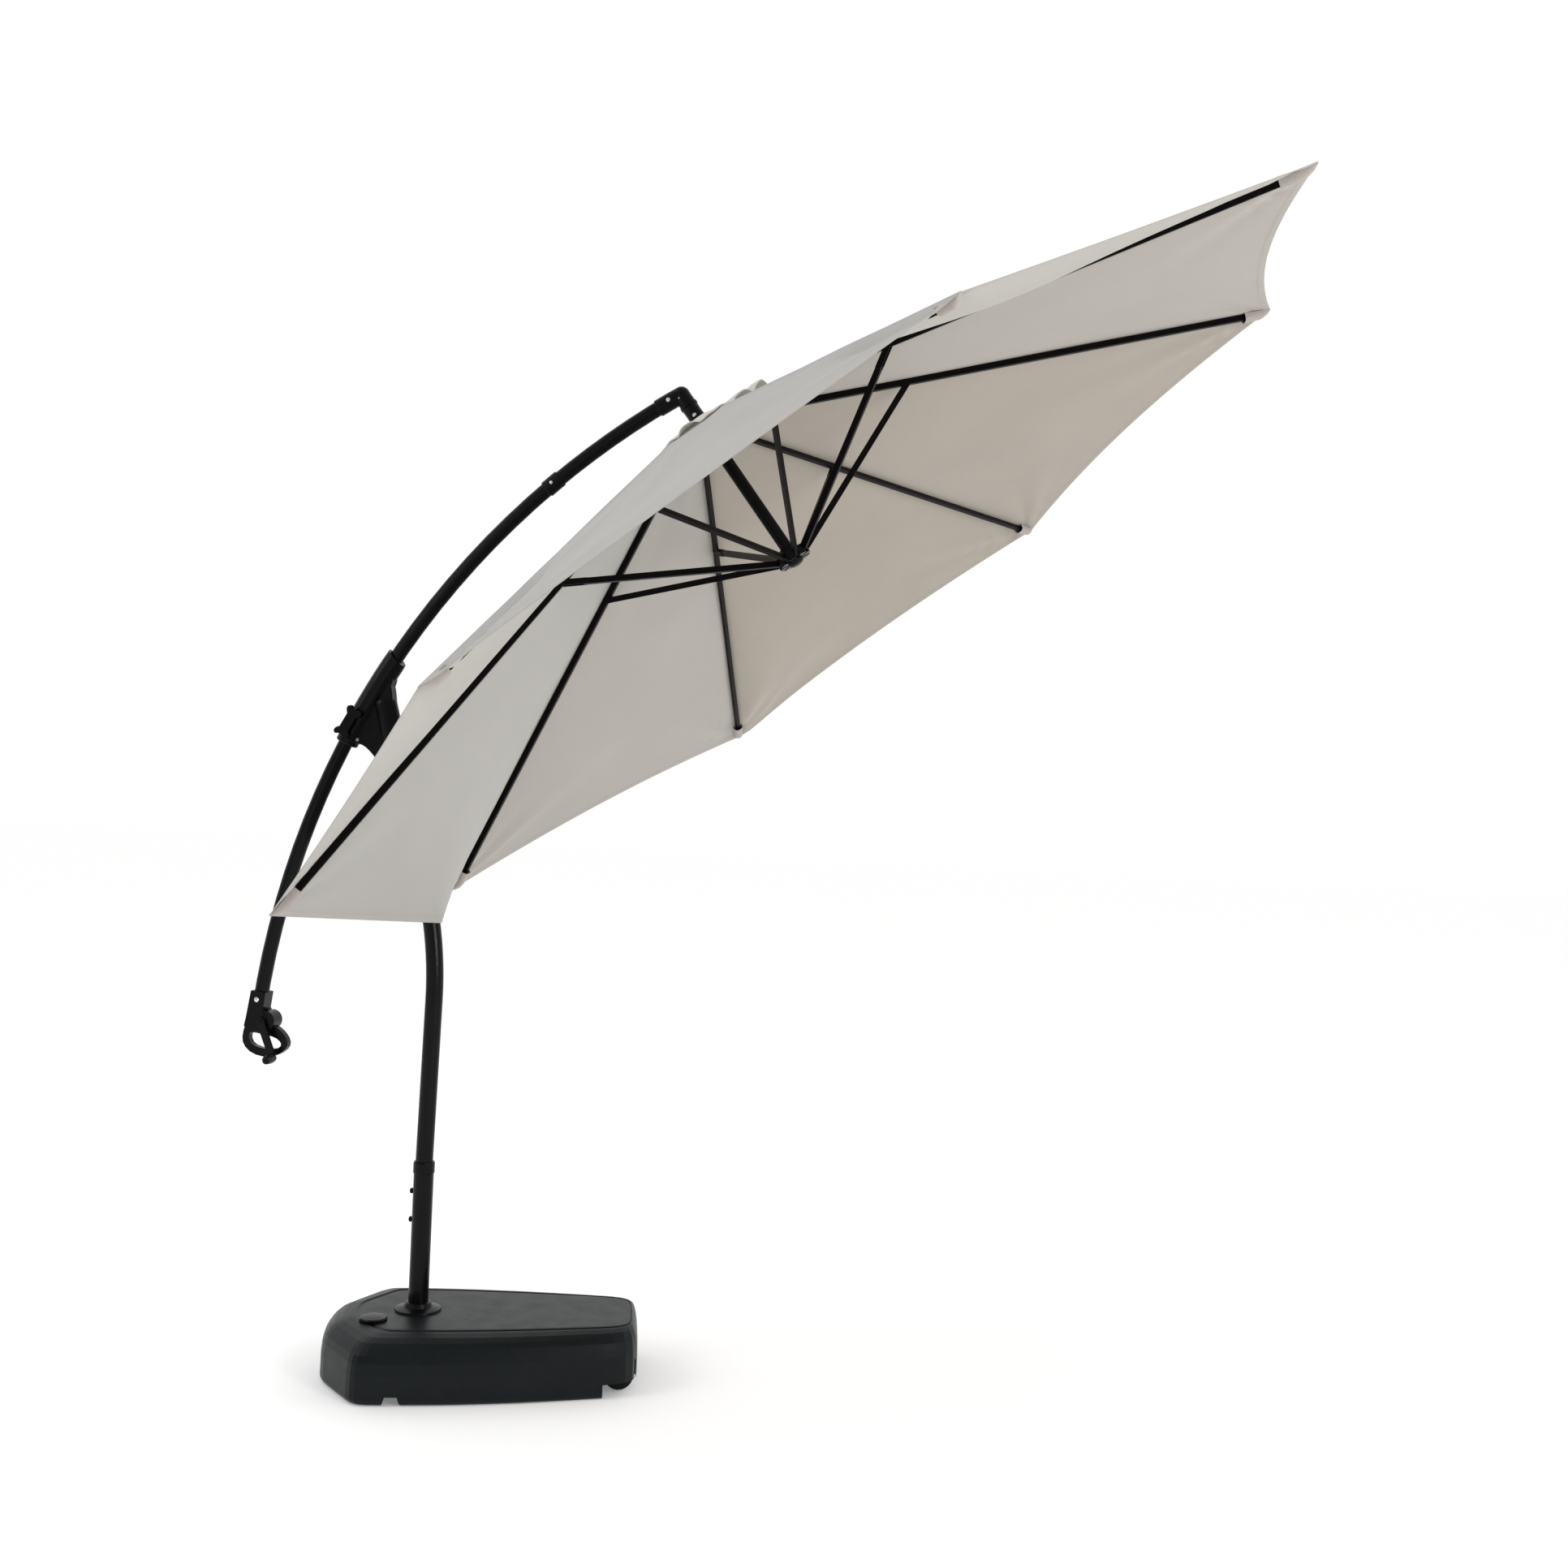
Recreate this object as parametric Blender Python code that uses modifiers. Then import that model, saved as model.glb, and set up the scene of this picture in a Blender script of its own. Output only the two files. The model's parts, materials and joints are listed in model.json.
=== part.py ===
"""Cantilever parasol with a sliding arc arm. Metres, +Z up, the mast axis is Z and the arm lies in the plane Y=0."""
import math
import bpy
import bmesh
from mathutils import Matrix, Vector

for _o in list(bpy.data.objects):
    bpy.data.objects.remove(_o, do_unlink=True)

# ---------------------------------------------------------------- sizes
ARC_C = Vector((1.5585, 0.0, 0.6158))     # centre of the arm's arc
ARC_R = 2.0134
ARM_R, ARM_IN = 0.0175, 0.0160            # arm tube
MAST_R, MAST_IN = 0.0210, 0.0192          # upper mast tube
FOOT_R, FOOT_IN = 0.0240, 0.0218          # lower mast tube
BEND_Z, BEND_R, BEND_A = 0.898, 0.95, math.radians(15.5)  # upper mast's bend
LEAN = math.radians(1.05)                 # the upper mast leans this much before it bends
HUB = Vector((0.606, 0.0, 2.295))         # canopy hub
TILT = math.radians(36.9)                 # canopy axis from vertical
ALPHA = 0.330                             # rib slope when open
FOLD = math.radians(80.0)                 # rib slope when folded
R0, RIB_L = 0.045, 1.46                   # cover line: start radius, length to the tip
RIB_OFF = 0.0100                          # rib centreline below the cover line
PIV_R = 0.033                             # rib hinge radius
RIB_D, RIB_W = 0.015, 0.009               # rib depth and width
ATT, ATT_OFF = 0.487, 0.0015               # strut pin along the rib, and below its centreline
RUN_R, RUN_H = 0.032, 0.390               # strut pin radius on the runner, and its drop
POLE_R, POLE_IN = 0.0150, 0.0135
TANK_YAW = math.radians(15.5)
AZ = [-22.5, 22.5, 67.5, 112.5, 157.5, -157.5, -112.5, -67.5]
COVER_T = 0.0012

AX = Vector((-math.sin(TILT), 0, math.cos(TILT)))
E1 = Vector((math.cos(TILT), 0, math.sin(TILT)))
E2 = Vector((0, 1, 0))
PIV_S = (R0 - PIV_R) * math.tan(ALPHA) - RIB_OFF / math.cos(ALPHA)

parts = bpy.data.collections.new("cantilever_parasol")
tools = bpy.data.collections.new("cutters")
bpy.context.scene.collection.children.link(parts)
bpy.context.scene.collection.children.link(tools)


# ---------------------------------------------------------------- helpers
def material(name, rgb, rough, metal=0.0):
    m = bpy.data.materials.new(name)
    m.use_nodes = True
    b = m.node_tree.nodes["Principled BSDF"]
    b.inputs["Base Color"].default_value = (*rgb, 1)
    b.inputs["Roughness"].default_value = rough
    b.inputs["Metallic"].default_value = metal
    m.diffuse_color = (*rgb, 1)
    return m


FRAME = ("frame", (0.012, 0.012, 0.014), 0.38, 0.0)
RIBM = ("rib_paint", (0.016, 0.014, 0.014), 0.42, 0.0)
PLAST = ("black_plastic", (0.014, 0.014, 0.016), 0.48, 0.0)
STEEL = ("rivet_steel", (0.75, 0.75, 0.75), 0.25, 1.0)
TANKM = ("tank_plastic", (0.016, 0.018, 0.019), 0.45, 0.0)
SAND = ("sand", (0.45, 0.38, 0.28), 0.95, 0.0)
CORD = ("cord", (0.6, 0.6, 0.58), 0.8, 0.0)
CLOTH = ("polyester", (0.52, 0.50, 0.44), 0.85, 0.0)
RUBBER = ("wheel_rubber", (0.02, 0.02, 0.02), 0.7, 0.0)


def put(name, bm, mat, origin=(0, 0, 0), cutter=False, smooth=True):
    bmesh.ops.remove_doubles(bm, verts=bm.verts[:], dist=0.00002)
    bmesh.ops.recalc_face_normals(bm, faces=bm.faces[:])
    me = bpy.data.meshes.new(name)
    bm.to_mesh(me)
    bm.free()
    me.transform(Matrix.Translation(-Vector(origin)))
    ob = bpy.data.objects.new(name, me)
    ob.location = origin
    if cutter:
        tools.objects.link(ob)
        ob.hide_render = True
        ob.display_type = "WIRE"
        return ob
    parts.objects.link(ob)
    me.materials.append(material(name + "_" + mat[0], *mat[1:]))
    if smooth:
        for p in me.polygons:
            p.use_smooth = True
        me.set_sharp_from_angle(angle=math.radians(35))
    return ob


def frame(p, d, up=(0, 1, 0)):
    """Matrix at p whose Z is d and whose Y is near up."""
    z = Vector(d).normalized()
    x = Vector(up).cross(z).normalized()
    y = z.cross(x)
    return Matrix.Translation(Vector(p)) @ Matrix((x, y, z)).transposed().to_4x4()


def sweep(bm, path, radius, segs=16, inner=None):
    """Round bar, or tube, along path = [(point, direction)]."""
    def loops(r):
        out = []
        for i, (p, d) in enumerate(path):
            rr = r[i] if isinstance(r, (list, tuple)) else r
            up = (0, 1, 0) if abs(Vector(d).normalized().y) < 0.9 else (1, 0, 0)
            res = bmesh.ops.create_circle(bm, cap_ends=False, segments=segs, radius=rr, matrix=frame(p, d, up))
            out.append(res["verts"])
        return out

    def bridge(a, b):
        n = len(a)
        for i in range(n):
            bm.faces.new((a[i], a[(i + 1) % n], b[(i + 1) % n], b[i]))

    outer = loops(radius)
    for a, b in zip(outer, outer[1:]):
        bridge(a, b)
    if inner:
        inn = loops(inner)
        for a, b in zip(inn, inn[1:]):
            bridge(a, b)
        bridge(outer[0], inn[0])
        bridge(outer[-1], inn[-1])
    else:
        bm.faces.new(outer[0])
        bm.faces.new(outer[-1])
    return bm


def bar(name, a, b, radius, mat, segs=16, inner=None, origin=None, cutter=False):
    a, b = Vector(a), Vector(b)
    bm = bmesh.new()
    sweep(bm, [(a, b - a), (b, b - a)], radius, segs, inner)
    return put(name, bm, mat, origin if origin is not None else a, cutter)


def turned(name, profile, at, axis, mat, segs=24, cutter=False, origin=None):
    """Closed profile [(radius, height)] turned about an axis through at."""
    bm = bmesh.new()
    vs = [bm.verts.new((r, 0, z)) for r, z in profile]
    es = [bm.edges.new((vs[i], vs[(i + 1) % len(vs)])) for i in range(len(vs))
          if not (profile[i][0] == 0 and profile[(i + 1) % len(vs)][0] == 0)]
    bmesh.ops.spin(bm, geom=vs + es, cent=(0, 0, 0), axis=(0, 0, 1), angle=2 * math.pi, steps=segs, use_merge=True)
    bmesh.ops.remove_doubles(bm, verts=bm.verts[:], dist=0.00002)
    up = (0, 1, 0) if abs(Vector(axis).normalized().y) < 0.9 else (1, 0, 0)
    bm.transform(frame(at, axis, up))
    return put(name, bm, mat, origin if origin is not None else at, cutter)


def block(name, size, mtx, mat, origin=(0, 0, 0), cutter=False, bevel=0.0, segs=2):
    bm = bmesh.new()
    bmesh.ops.create_cube(bm, size=1, matrix=mtx @ Matrix.Diagonal((*size, 1)))
    if bevel:
        bmesh.ops.bevel(bm, geom=bm.edges[:], offset=bevel, segments=segs, affect="EDGES", profile=0.5)
    return put(name, bm, mat, origin, cutter)


def outline(name, pts, half, mtx, mat, holes=(), origin=(0, 0, 0), cutter=False, bevel=0.0):
    """Flat outline in the matrix's XY plane, as a filled 2D curve, half thick each way."""
    cu = bpy.data.curves.new(name, "CURVE")
    cu.dimensions = "2D"
    cu.fill_mode = "BOTH"
    cu.extrude = half
    for ring in (pts, *holes):
        sp = cu.splines.new("POLY")
        sp.points.add(len(ring) - 1)
        for p, (x, y) in zip(sp.points, ring):
            p.co = (x, y, 0, 1)
        sp.use_cyclic_u = True
    tmp = bpy.data.objects.new(name + "_curve", cu)
    tools.objects.link(tmp)
    me = bpy.data.meshes.new_from_object(tmp)
    bpy.data.objects.remove(tmp)
    bm = bmesh.new()
    bm.from_mesh(me)
    bmesh.ops.remove_doubles(bm, verts=bm.verts[:], dist=0.00002)
    bm.transform(mtx)
    ob = put(name, bm, mat, origin, cutter)
    if bevel:
        md = ob.modifiers.new("edge", "BEVEL")
        md.width = bevel
        md.segments = 2
        md.limit_method = "ANGLE"
        md.angle_limit = math.radians(50)
    return ob


def cut(ob, *cutters, op="DIFFERENCE"):
    for c in cutters:
        md = ob.modifiers.new(c.name, "BOOLEAN")
        md.operation = op
        md.solver = "EXACT"
        md.object = c
    return ob


def arc_pt(b, off=0.0):
    r = ARC_R + off
    return ARC_C + Vector((-r * math.cos(b), 0, r * math.sin(b)))


def arc_dir(b):
    return Vector((math.sin(b), 0, math.cos(b)))


def arc_path(b0, b1, n):
    return [(arc_pt(b0 + (b1 - b0) * i / n), arc_dir(b0 + (b1 - b0) * i / n)) for i in range(n + 1)]


def can(r, s, az=0.0, t=0.0):
    """Point in the canopy frame: radius, height along the pole, azimuth, tangential offset."""
    u = E1 * math.cos(az) + E2 * math.sin(az)
    w = -E1 * math.sin(az) + E2 * math.cos(az)
    return HUB + u * r + AX * s + w * t


D = math.radians

# ---------------------------------------------------------------- base tank
TM = Matrix.Rotation(TANK_YAW, 4, "Z")


HALF_PLAN = [(0.530, 0.0), (0.530, 0.055), (0.529, 0.100), (0.5265, 0.130), (0.518, 0.155), (0.501, 0.174), (0.476, 0.186),
             (0.449, 0.193), (0.385, 0.2065), (0.320, 0.219), (0.250, 0.231), (0.187, 0.239), (0.120, 0.246), (0.060, 0.250),
             (0.0, 0.252), (-0.060, 0.253), (-0.096, 0.2525), (-0.112, 0.249), (-0.124, 0.241), (-0.134, 0.228), (-0.156, 0.190),
             (-0.180, 0.148), (-0.203, 0.106), (-0.211, 0.087), (-0.216, 0.064), (-0.219, 0.030)]


def tank_ring(inset):
    """Plan outline: chamfered left end, tapering to a steeper, rounded right end; inset pulls it in about a fixed centre."""
    half = HALF_PLAN + [(-0.2195, 0.0)]
    full = half + [(x, -y) for x, y in reversed(half[1:-1])]
    pts = []
    for x, y in full:
        kx = 0.22 if x > 0.155 else 1.0
        pts.append((0.155 + (x - 0.155) * (1 - inset * kx / 0.375), y * (1 - inset / 0.25)))
    return pts


def loft(name, levels, mat, mtx, cutter=False):
    bm = bmesh.new()
    rings = []
    for z, inset in levels:
        pts = tank_ring(inset)
        rings.append([bm.verts.new((x, y, z)) for x, y in pts])
    k = len(rings[0])
    for a, b in zip(rings, rings[1:]):
        for i in range(k):
            bm.faces.new((a[i], a[(i + 1) % k], b[(i + 1) % k], b[i]))
    bm.faces.new(rings[0])
    bm.faces.new(rings[-1])
    bm.transform(mtx)
    return put(name, bm, mat, (0, 0, 0), cutter)


tank = loft("tank", [(0.0, 0.014), (0.006, 0.004), (0.014, 0.0), (0.070, 0.0005), (0.096, 0.003), (0.113, 0.008), (0.126, 0.017),
                     (0.136, 0.029), (0.1435, 0.046), (0.1480, 0.066), (0.1490, 0.074), (0.1468, 0.077), (0.1468, 0.083),
                     (0.1494, 0.087), (0.1500, 0.094)], TANKM, TM)
cav_lv = [(0.0045, 0.010), (0.012, 0.005), (0.070, 0.0055), (0.095, 0.008), (0.111, 0.013), (0.123, 0.022),
          (0.132, 0.034), (0.1388, 0.050), (0.1430, 0.070), (0.1436, 0.094)]
cavity = loft("cut_cavity", cav_lv, TANKM, TM, cutter=True)
CH_X = -0.030                              # hand channel under the tank
keep = [bar("keep_well", (0, 0, -0.01), (0, 0, 0.2), 0.0315, TANKM, 20, cutter=True),
        block("keep_channel", (0.050, 0.7, 0.056), TM @ Matrix.Translation((CH_X, 0, 0)), TANKM, cutter=True),
        block("keep_end", (0.2, 0.6, 0.4), TM @ Matrix.Translation((0.538, 0, 0.1)), TANKM, cutter=True)]
cut(cavity, *keep)
well = bar("cut_well", (0, 0, 0.006), (0, 0, 0.3), 0.0245, TANKM, 24, cutter=True)
channel = outline("cut_channel", [(-0.021, -0.02), (-0.021, 0.0), (-0.014, 0.022), (0.014, 0.022), (0.021, 0.0), (0.021, -0.02)],
                  0.35, TM @ Matrix.Translation((CH_X, 0, 0)) @ Matrix.Rotation(D(90), 4, "X"), TANKM, cutter=True)
step = block("cut_step", (0.2, 0.6, 0.068), TM @ Matrix.Translation((0.549, 0, 0)), TANKM, cutter=True)
CAP = Vector((-0.068, -0.110, 0.150))
neck = bar("cut_neck", CAP + Vector((0, 0, -0.05)), CAP + Vector((0, 0, 0.05)), 0.0220, TANKM, 24, cutter=True)
WX, WZ, WR = 0.486, 0.0375, 0.0345
wells = [block("cut_wheel_%d" % i, (0.078, 0.034, 0.12), TM @ Matrix.Translation((WX, y, 0.020)), TANKM, cutter=True, bevel=0.004)
         for i, y in ((1, -0.125), (2, 0.125))]
axle_hole = bar("cut_axle", TM @ Vector((WX, -0.158, WZ)), TM @ Vector((WX, 0.158, WZ)), 0.0042, TANKM, 16, cutter=True)
cut(tank, cavity, well, channel, step, neck, *wells, axle_hole)

fill = loft("sand_ballast", [(0.0058, 0.012), (0.013, 0.0068), (0.070, 0.0072), (0.094, 0.0098), (0.108, 0.0145)], SAND, TM)
bw = bar("keep_well_fill", (0, 0, -0.01), (0, 0, 0.2), 0.0332, SAND, 20, cutter=True)
bc = block("keep_channel_fill", (0.0525, 0.7, 0.0585), TM @ Matrix.Translation((CH_X, 0, 0)), SAND, cutter=True)
be = block("keep_end_fill", (0.2, 0.6, 0.4), TM @ Matrix.Translation((0.5362, 0, 0.1)), SAND, cutter=True)
cut(fill, bw, bc, be)

turned("filler_cap", [(0, -0.014), (0.0205, -0.014), (0.0208, 0.0006), (0.033, 0.0006), (0.0335, 0.004), (0.0315, 0.0075),
                      (0.012, 0.009), (0, 0.009)], CAP, (0, 0, 1), PLAST, 28)
turned("mast_socket_ring", [(0.0246, 0.1505), (0.0560, 0.1505), (0.0550, 0.1545), (0.0345, 0.1590), (0.0300, 0.1690), (0.0246, 0.1700)],
       (0, 0, 0), (0, 0, 1), PLAST, 32)
bar("wheel_axle", TM @ Vector((WX, -0.155, WZ)), TM @ Vector((WX, 0.155, WZ)), 0.0040, STEEL, 12)
for i, y in ((1, -0.125), (2, 0.125)):
    c = TM @ Vector((WX, y, WZ))
    turned("wheel_%d" % i, [(0.0043, -0.012), (0.028, -0.012), (0.0325, -0.011), (WR, -0.006), (WR, 0.006), (0.0325, 0.011),
                            (0.028, 0.012), (0.0043, 0.012)], c, TM.to_3x3() @ Vector((0, 1, 0)), RUBBER, 24)

# ---------------------------------------------------------------- mast
lower = bar("lower_mast", (0, 0, 0.0070), (0, 0, 0.4940), FOOT_R, FRAME, 24, inner=FOOT_IN)
holes = []
for nm, z in (("upper", 0.434), ("lower", 0.3655)):
    holes.append(bar("cut_screw_" + nm, (-0.05, 0, z), (-0.015, 0, z), 0.0031, FRAME, 12, cutter=True))
    turned("clamp_screw_" + nm, [(0, 0), (0.0028, 0), (0.0028, 0.0030), (0.0058, 0.0030), (0.0068, 0.0042), (0.0068, 0.0085),
                                 (0.0052, 0.0105), (0, 0.0105)], (-0.0213, 0, z), (-1, 0, 0), PLAST, 14)
cut(lower, *holes)
turned("mast_collar", [(0.0242, 0.4790), (0.0250, 0.4790), (0.0257, 0.4810), (0.0257, 0.5030), (0.0245, 0.5070), (0.0214, 0.5070),
                       (0.0214, 0.4950), (0.0242, 0.4950)], (0, 0, 0), (0, 0, 1), PLAST, 28)


LEAN_X = (BEND_Z - 0.520) * math.tan(LEAN)


def mast_pt(a, straight=0.0):
    """Point and direction on the bend, a from the vertical; straight runs on past the bend."""
    d = Vector((-math.sin(a), 0, math.cos(a)))
    p = Vector((LEAN_X - BEND_R * (math.cos(LEAN) - math.cos(a)), 0, BEND_Z + BEND_R * (math.sin(a) + math.sin(LEAN))))
    return p + d * straight, d


MAST_L = 0.450                             # straight run above the bend
mp = [(Vector((0, 0, 0.330)), Vector((0, 0, 1))), (Vector((0, 0, 0.510)), Vector((0, 0, 1)))]
mp += [(Vector((0.0002, 0, 0.5265)), Vector((math.sin(LEAN), 0, math.cos(LEAN))))]
mp += [mast_pt(-LEAN + (BEND_A + LEAN) * i / 10) for i in range(11)] + [mast_pt(BEND_A, MAST_L)]
bm = bmesh.new()
sweep(bm, mp, MAST_R, 24, MAST_IN)
put("upper_mast", bm, FRAME)

# ---------------------------------------------------------------- sliding housing, two shells
BH = D(29.8)
PH, TH = arc_pt(BH), arc_dir(BH)


def hp(s, n):
    """Point on the arc's strip: s along the arc, n outward."""
    return arc_pt(BH + s / ARC_R, n)


XZ = Matrix(((1, 0, 0, 0), (0, 0, -1, 0), (0, 1, 0, 0), (0, 0, 0, 1)))    # XY outline to the XZ plane, Z to -Y
me_, md_ = mast_pt(BEND_A, MAST_L)
mr = Vector((md_.z, 0, -md_.x))            # to the right of the mast


def at_mast(up, side):
    """Point beside the straight run: up from its top end, side to the right."""
    p = me_ + md_ * up + mr * side
    return (p.x, p.z)


web_pts = [(hp(0.092, -0.016).x, hp(0.092, -0.016).z), (hp(0.072, -0.0290).x, hp(0.072, -0.0290).z), (-0.1312, 1.6490), (-0.1290, 1.6400),
           at_mast(0.010, 0.0255), at_mast(-0.020, 0.0215), at_mast(-0.190, 0.0215), at_mast(-0.205, -0.010), at_mast(-0.200, -0.0225),
           (-0.1320, 1.4300), (-0.1440, 1.4480), (-0.1560, 1.4640), (-0.1680, 1.4785), (-0.1790, 1.4900), (-0.1890, 1.4985), (-0.2010, 1.5045),
           (-0.2150, 1.5058), (hp(-0.112, -0.010).x, hp(-0.112, -0.010).z), (hp(-0.09, 0.008).x, hp(-0.09, 0.008).z),
           (hp(0.05, 0.008).x, hp(0.05, 0.008).z)]
bm = bmesh.new()
sweep(bm, arc_path(BH - D(5), BH + D(5), 10), 0.0187, 24)
arm_bore = put("cut_arm_bore", bm, PLAST, cutter=True)
bm = bmesh.new()
sweep(bm, [mast_pt(D(10)), mast_pt(D(12.5)), mast_pt(BEND_A), mast_pt(BEND_A, MAST_L + 0.0015)], 0.0213, 24)
mast_bore = put("cut_mast_bore", bm, PLAST, cutter=True)
KN = Vector((-0.2248, 0, 1.5570))
knob_bore = bar("cut_knob_bore", KN + Vector((0, -0.06, 0)), KN + Vector((0, -0.010, 0)), 0.0045, PLAST, 14, cutter=True)
bm = bmesh.new()
sweep(bm, [mast_pt(BEND_A, MAST_L - 0.2120), mast_pt(BEND_A, MAST_L - 0.2080), mast_pt(BEND_A, MAST_L + 0.004), mast_pt(BEND_A, MAST_L + 0.011)],
      [0.0262, 0.0278, 0.0278, 0.0262], 24)
mast_sleeve = put("add_mast_sleeve", bm, PLAST, cutter=True)
lip_t = arc_dir(BH + 0.1205 / ARC_R)
lip_n = Vector((-lip_t.z, 0, lip_t.x))
lip_d = lip_t * math.cos(D(13.8)) - lip_n * math.sin(D(13.8))
for nm, sgn in (("front", -1), ("rear", 1)):
    bm = bmesh.new()
    sweep(bm, [(hp(-0.1225, -0.0023), arc_dir(BH - 0.1225 / ARC_R)), (hp(-0.1205, -0.0023), arc_dir(BH - 0.1205 / ARC_R))]
          + [(hp(-0.1 + 0.2 * i / 8, -0.0023), arc_dir(BH + (-0.1 + 0.2 * i / 8) / ARC_R)) for i in range(9)]
          + [(hp(0.1205, -0.0023), lip_d)], [0.0262] + [0.0275] * 11, 28)
    sh = put("housing_" + nm, bm, PLAST, PH)
    web = outline("add_web_" + nm, web_pts, 0.0165, XZ, PLAST, cutter=True, bevel=0.004)
    side = block("cut_half_" + nm, (0.6, 0.2, 0.8), Matrix.Translation((-0.15, sgn * -0.0998, 1.55)), PLAST, cutter=True)
    cut(sh, web, mast_sleeve, op="UNION")
    cut(sh, side, arm_bore, mast_bore)
    if sgn < 0:
        cut(sh, knob_bore)
TH_M = frame(KN, (0, -1, 0), TH)           # Z out of the front, Y along the arm
kp = []
for sx, sy in ((1, 1), (-1, 1), (-1, -1), (1, -1)):
    q = [(0.0125, 0.018), (0.0195, 0.026), (0.0205, 0.034), (0.0145, 0.0395), (0.0060, 0.0345)]
    q = [(sx * x, sy * y) for x, y in q]
    kp += q if sx * sy > 0 else q[::-1]
knob = outline("lock_knob", kp, 0.0070, TH_M @ Matrix.Translation((0, 0, 0.0395)), PLAST, origin=KN, bevel=0.003)
boss = bar("knob_boss", KN + Vector((0, -0.0335, 0)), KN + Vector((0, -0.0285, 0)), 0.0150, PLAST, 20, cutter=True)
stud = bar("knob_stud", KN + Vector((0, -0.0200, 0)), KN + Vector((0, -0.0340, 0)), 0.0040, PLAST, 14, cutter=True)
cut(knob, boss, stud, op="UNION")
turned("housing_screw", [(0, 0), (0.0045, 0), (0.0045, 0.0014), (0.0030, 0.0022), (0, 0.0022)],
       Vector((-0.2101, -0.0168, 1.5163)), (0, -1, 0), STEEL, 14)

# ---------------------------------------------------------------- arm
BJ = D(49.5)
bm = bmesh.new()
sweep(bm, arc_path(D(6.62), BJ - 0.0002, 22), ARM_R, 20, ARM_IN)
lo_arm = put("arm_lower_tube", bm, FRAME, ARC_C)
bm = bmesh.new()
sweep(bm, arc_path(BJ + 0.0002, D(59.42), 6), ARM_R, 20, ARM_IN)
up_arm = put("arm_upper_tube", bm, FRAME, ARC_C)
bm = bmesh.new()
cb = [BJ + x / ARC_R for x in (-0.022, -0.020, 0.0, 0.020, 0.022)]
sweep(bm, [(arc_pt(b), arc_dir(b)) for b in cb], [0.0190, 0.0203, 0.0203, 0.0203, 0.0190], 20, inner=0.0178)
put("arm_coupling", bm, PLAST, ARC_C)


def rivet(name, at, off, mat=STEEL, r=0.0042):
    """Rivet head on the front face, off from the arm's plane."""
    return turned(name, [(0, 0), (r, 0), (r, 0.0006), (r * 0.72, 0.0020), (0, 0.0026)], at + Vector((0, -off, 0)), (0, -1, 0), mat, 12)


rivet("coupling_rivet", arc_pt(BJ), 0.02045)

# elbow: arm socket, bend, pole socket and flange
CORNER = HUB + AX * 0.0832
BA = D(60.0)
ta = arc_dir(BA)
td = -AX
B0 = D(58.30)
bend = []
rb = 0.024
half = math.acos(max(-1, min(1, ta.dot(td)))) / 2
tl = rb * math.tan(half)
pa, pb = CORNER - ta * tl, CORNER + td * tl
nrm = (td - ta * ta.dot(td)).normalized()
cc = pa + nrm * rb
for i in range(1, 8):
    a = 2 * half * i / 8
    bend.append((cc - nrm * rb * math.cos(a) + ta * rb * math.sin(a), ta * math.cos(a) + nrm * math.sin(a)))
def ball(name, at, r):
    bm = bmesh.new()
    bmesh.ops.create_uvsphere(bm, u_segments=24, v_segments=14, radius=r, matrix=frame(at, AX))
    return put(name, bm, PLAST, cutter=True)


bm = bmesh.new()
sweep(bm, [(arc_pt(B0), arc_dir(B0)), (arc_pt(B0 + 0.0008), arc_dir(B0)), (arc_pt(D(59.4)), arc_dir(D(59.4))), (CORNER, ta)],
      [0.0196, 0.0206, 0.0206, 0.0203], 24)
elbow = put("elbow", bm, PLAST, CORNER)
bm = bmesh.new()
sweep(bm, [(CORNER, td), (HUB + AX * 0.0560, td), (HUB + AX * 0.0545, td), (HUB + AX * 0.0480, td), (HUB + AX * 0.0465, td), (HUB + AX * 0.030, td),
           (HUB + AX * 0.014, td), (HUB + AX * 0.0095, td), (HUB + AX * 0.0072, td)],
      [0.0203, 0.0203, 0.0222, 0.0222, 0.0203, 0.0199, 0.0205, 0.0265, 0.0315], 24)
leg = put("add_elbow_leg", bm, PLAST, cutter=True)
cut(elbow, leg, ball("add_elbow_corner", CORNER, 0.0206), op="UNION")
bm = bmesh.new()
sweep(bm, [(arc_pt(D(57.6)), arc_dir(D(57.6))), (arc_pt(D(59.47)), arc_dir(D(59.47)))], 0.0179, 24)
sock_a = put("cut_arm_socket", bm, PLAST, cutter=True)
sock_m = bar("cut_elbow_way_arm", arc_pt(D(59.3)), CORNER, 0.0128, PLAST, 20, cutter=True)
sock_n = bar("cut_elbow_way_pole", CORNER, HUB + AX * 0.040, 0.0126, PLAST, 20, cutter=True)
sock_c = ball("cut_elbow_way_corner", CORNER, 0.0130)
sock_p = bar("cut_pole_socket", HUB + AX * 0.0440, HUB - AX * 0.05, 0.0153, PLAST, 24, cutter=True)
PU = CORNER + ((-ta + td).normalized()) * (0.0078 / math.sin((math.pi - 2 * half) / 2))
sock_u = bar("cut_pulley_chamber", PU + Vector((0, -0.0058, 0)), PU + Vector((0, 0.0058, 0)), 0.0095, PLAST, 20, cutter=True)
pin_h = bar("cut_pulley_pin", PU + Vector((0, -0.03, 0)), PU + Vector((0, 0.03, 0)), 0.0026, PLAST, 14, cutter=True)
cut(elbow, sock_a, sock_m, sock_n, sock_c, sock_p, sock_u, pin_h)
bar("pulley_pin", PU + Vector((0, -0.0165, 0)), PU + Vector((0, 0.0165, 0)), 0.0024, STEEL, 14)
turned("cord_pulley", [(0.00255, -0.0046), (0.0080, -0.0046), (0.0080, -0.0034), (0.0060, -0.0022), (0.0060, 0.0022), (0.0080, 0.0034),
                       (0.0080, 0.0046), (0.00255, 0.0046)], PU, (0, 1, 0), PLAST, 20)
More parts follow.
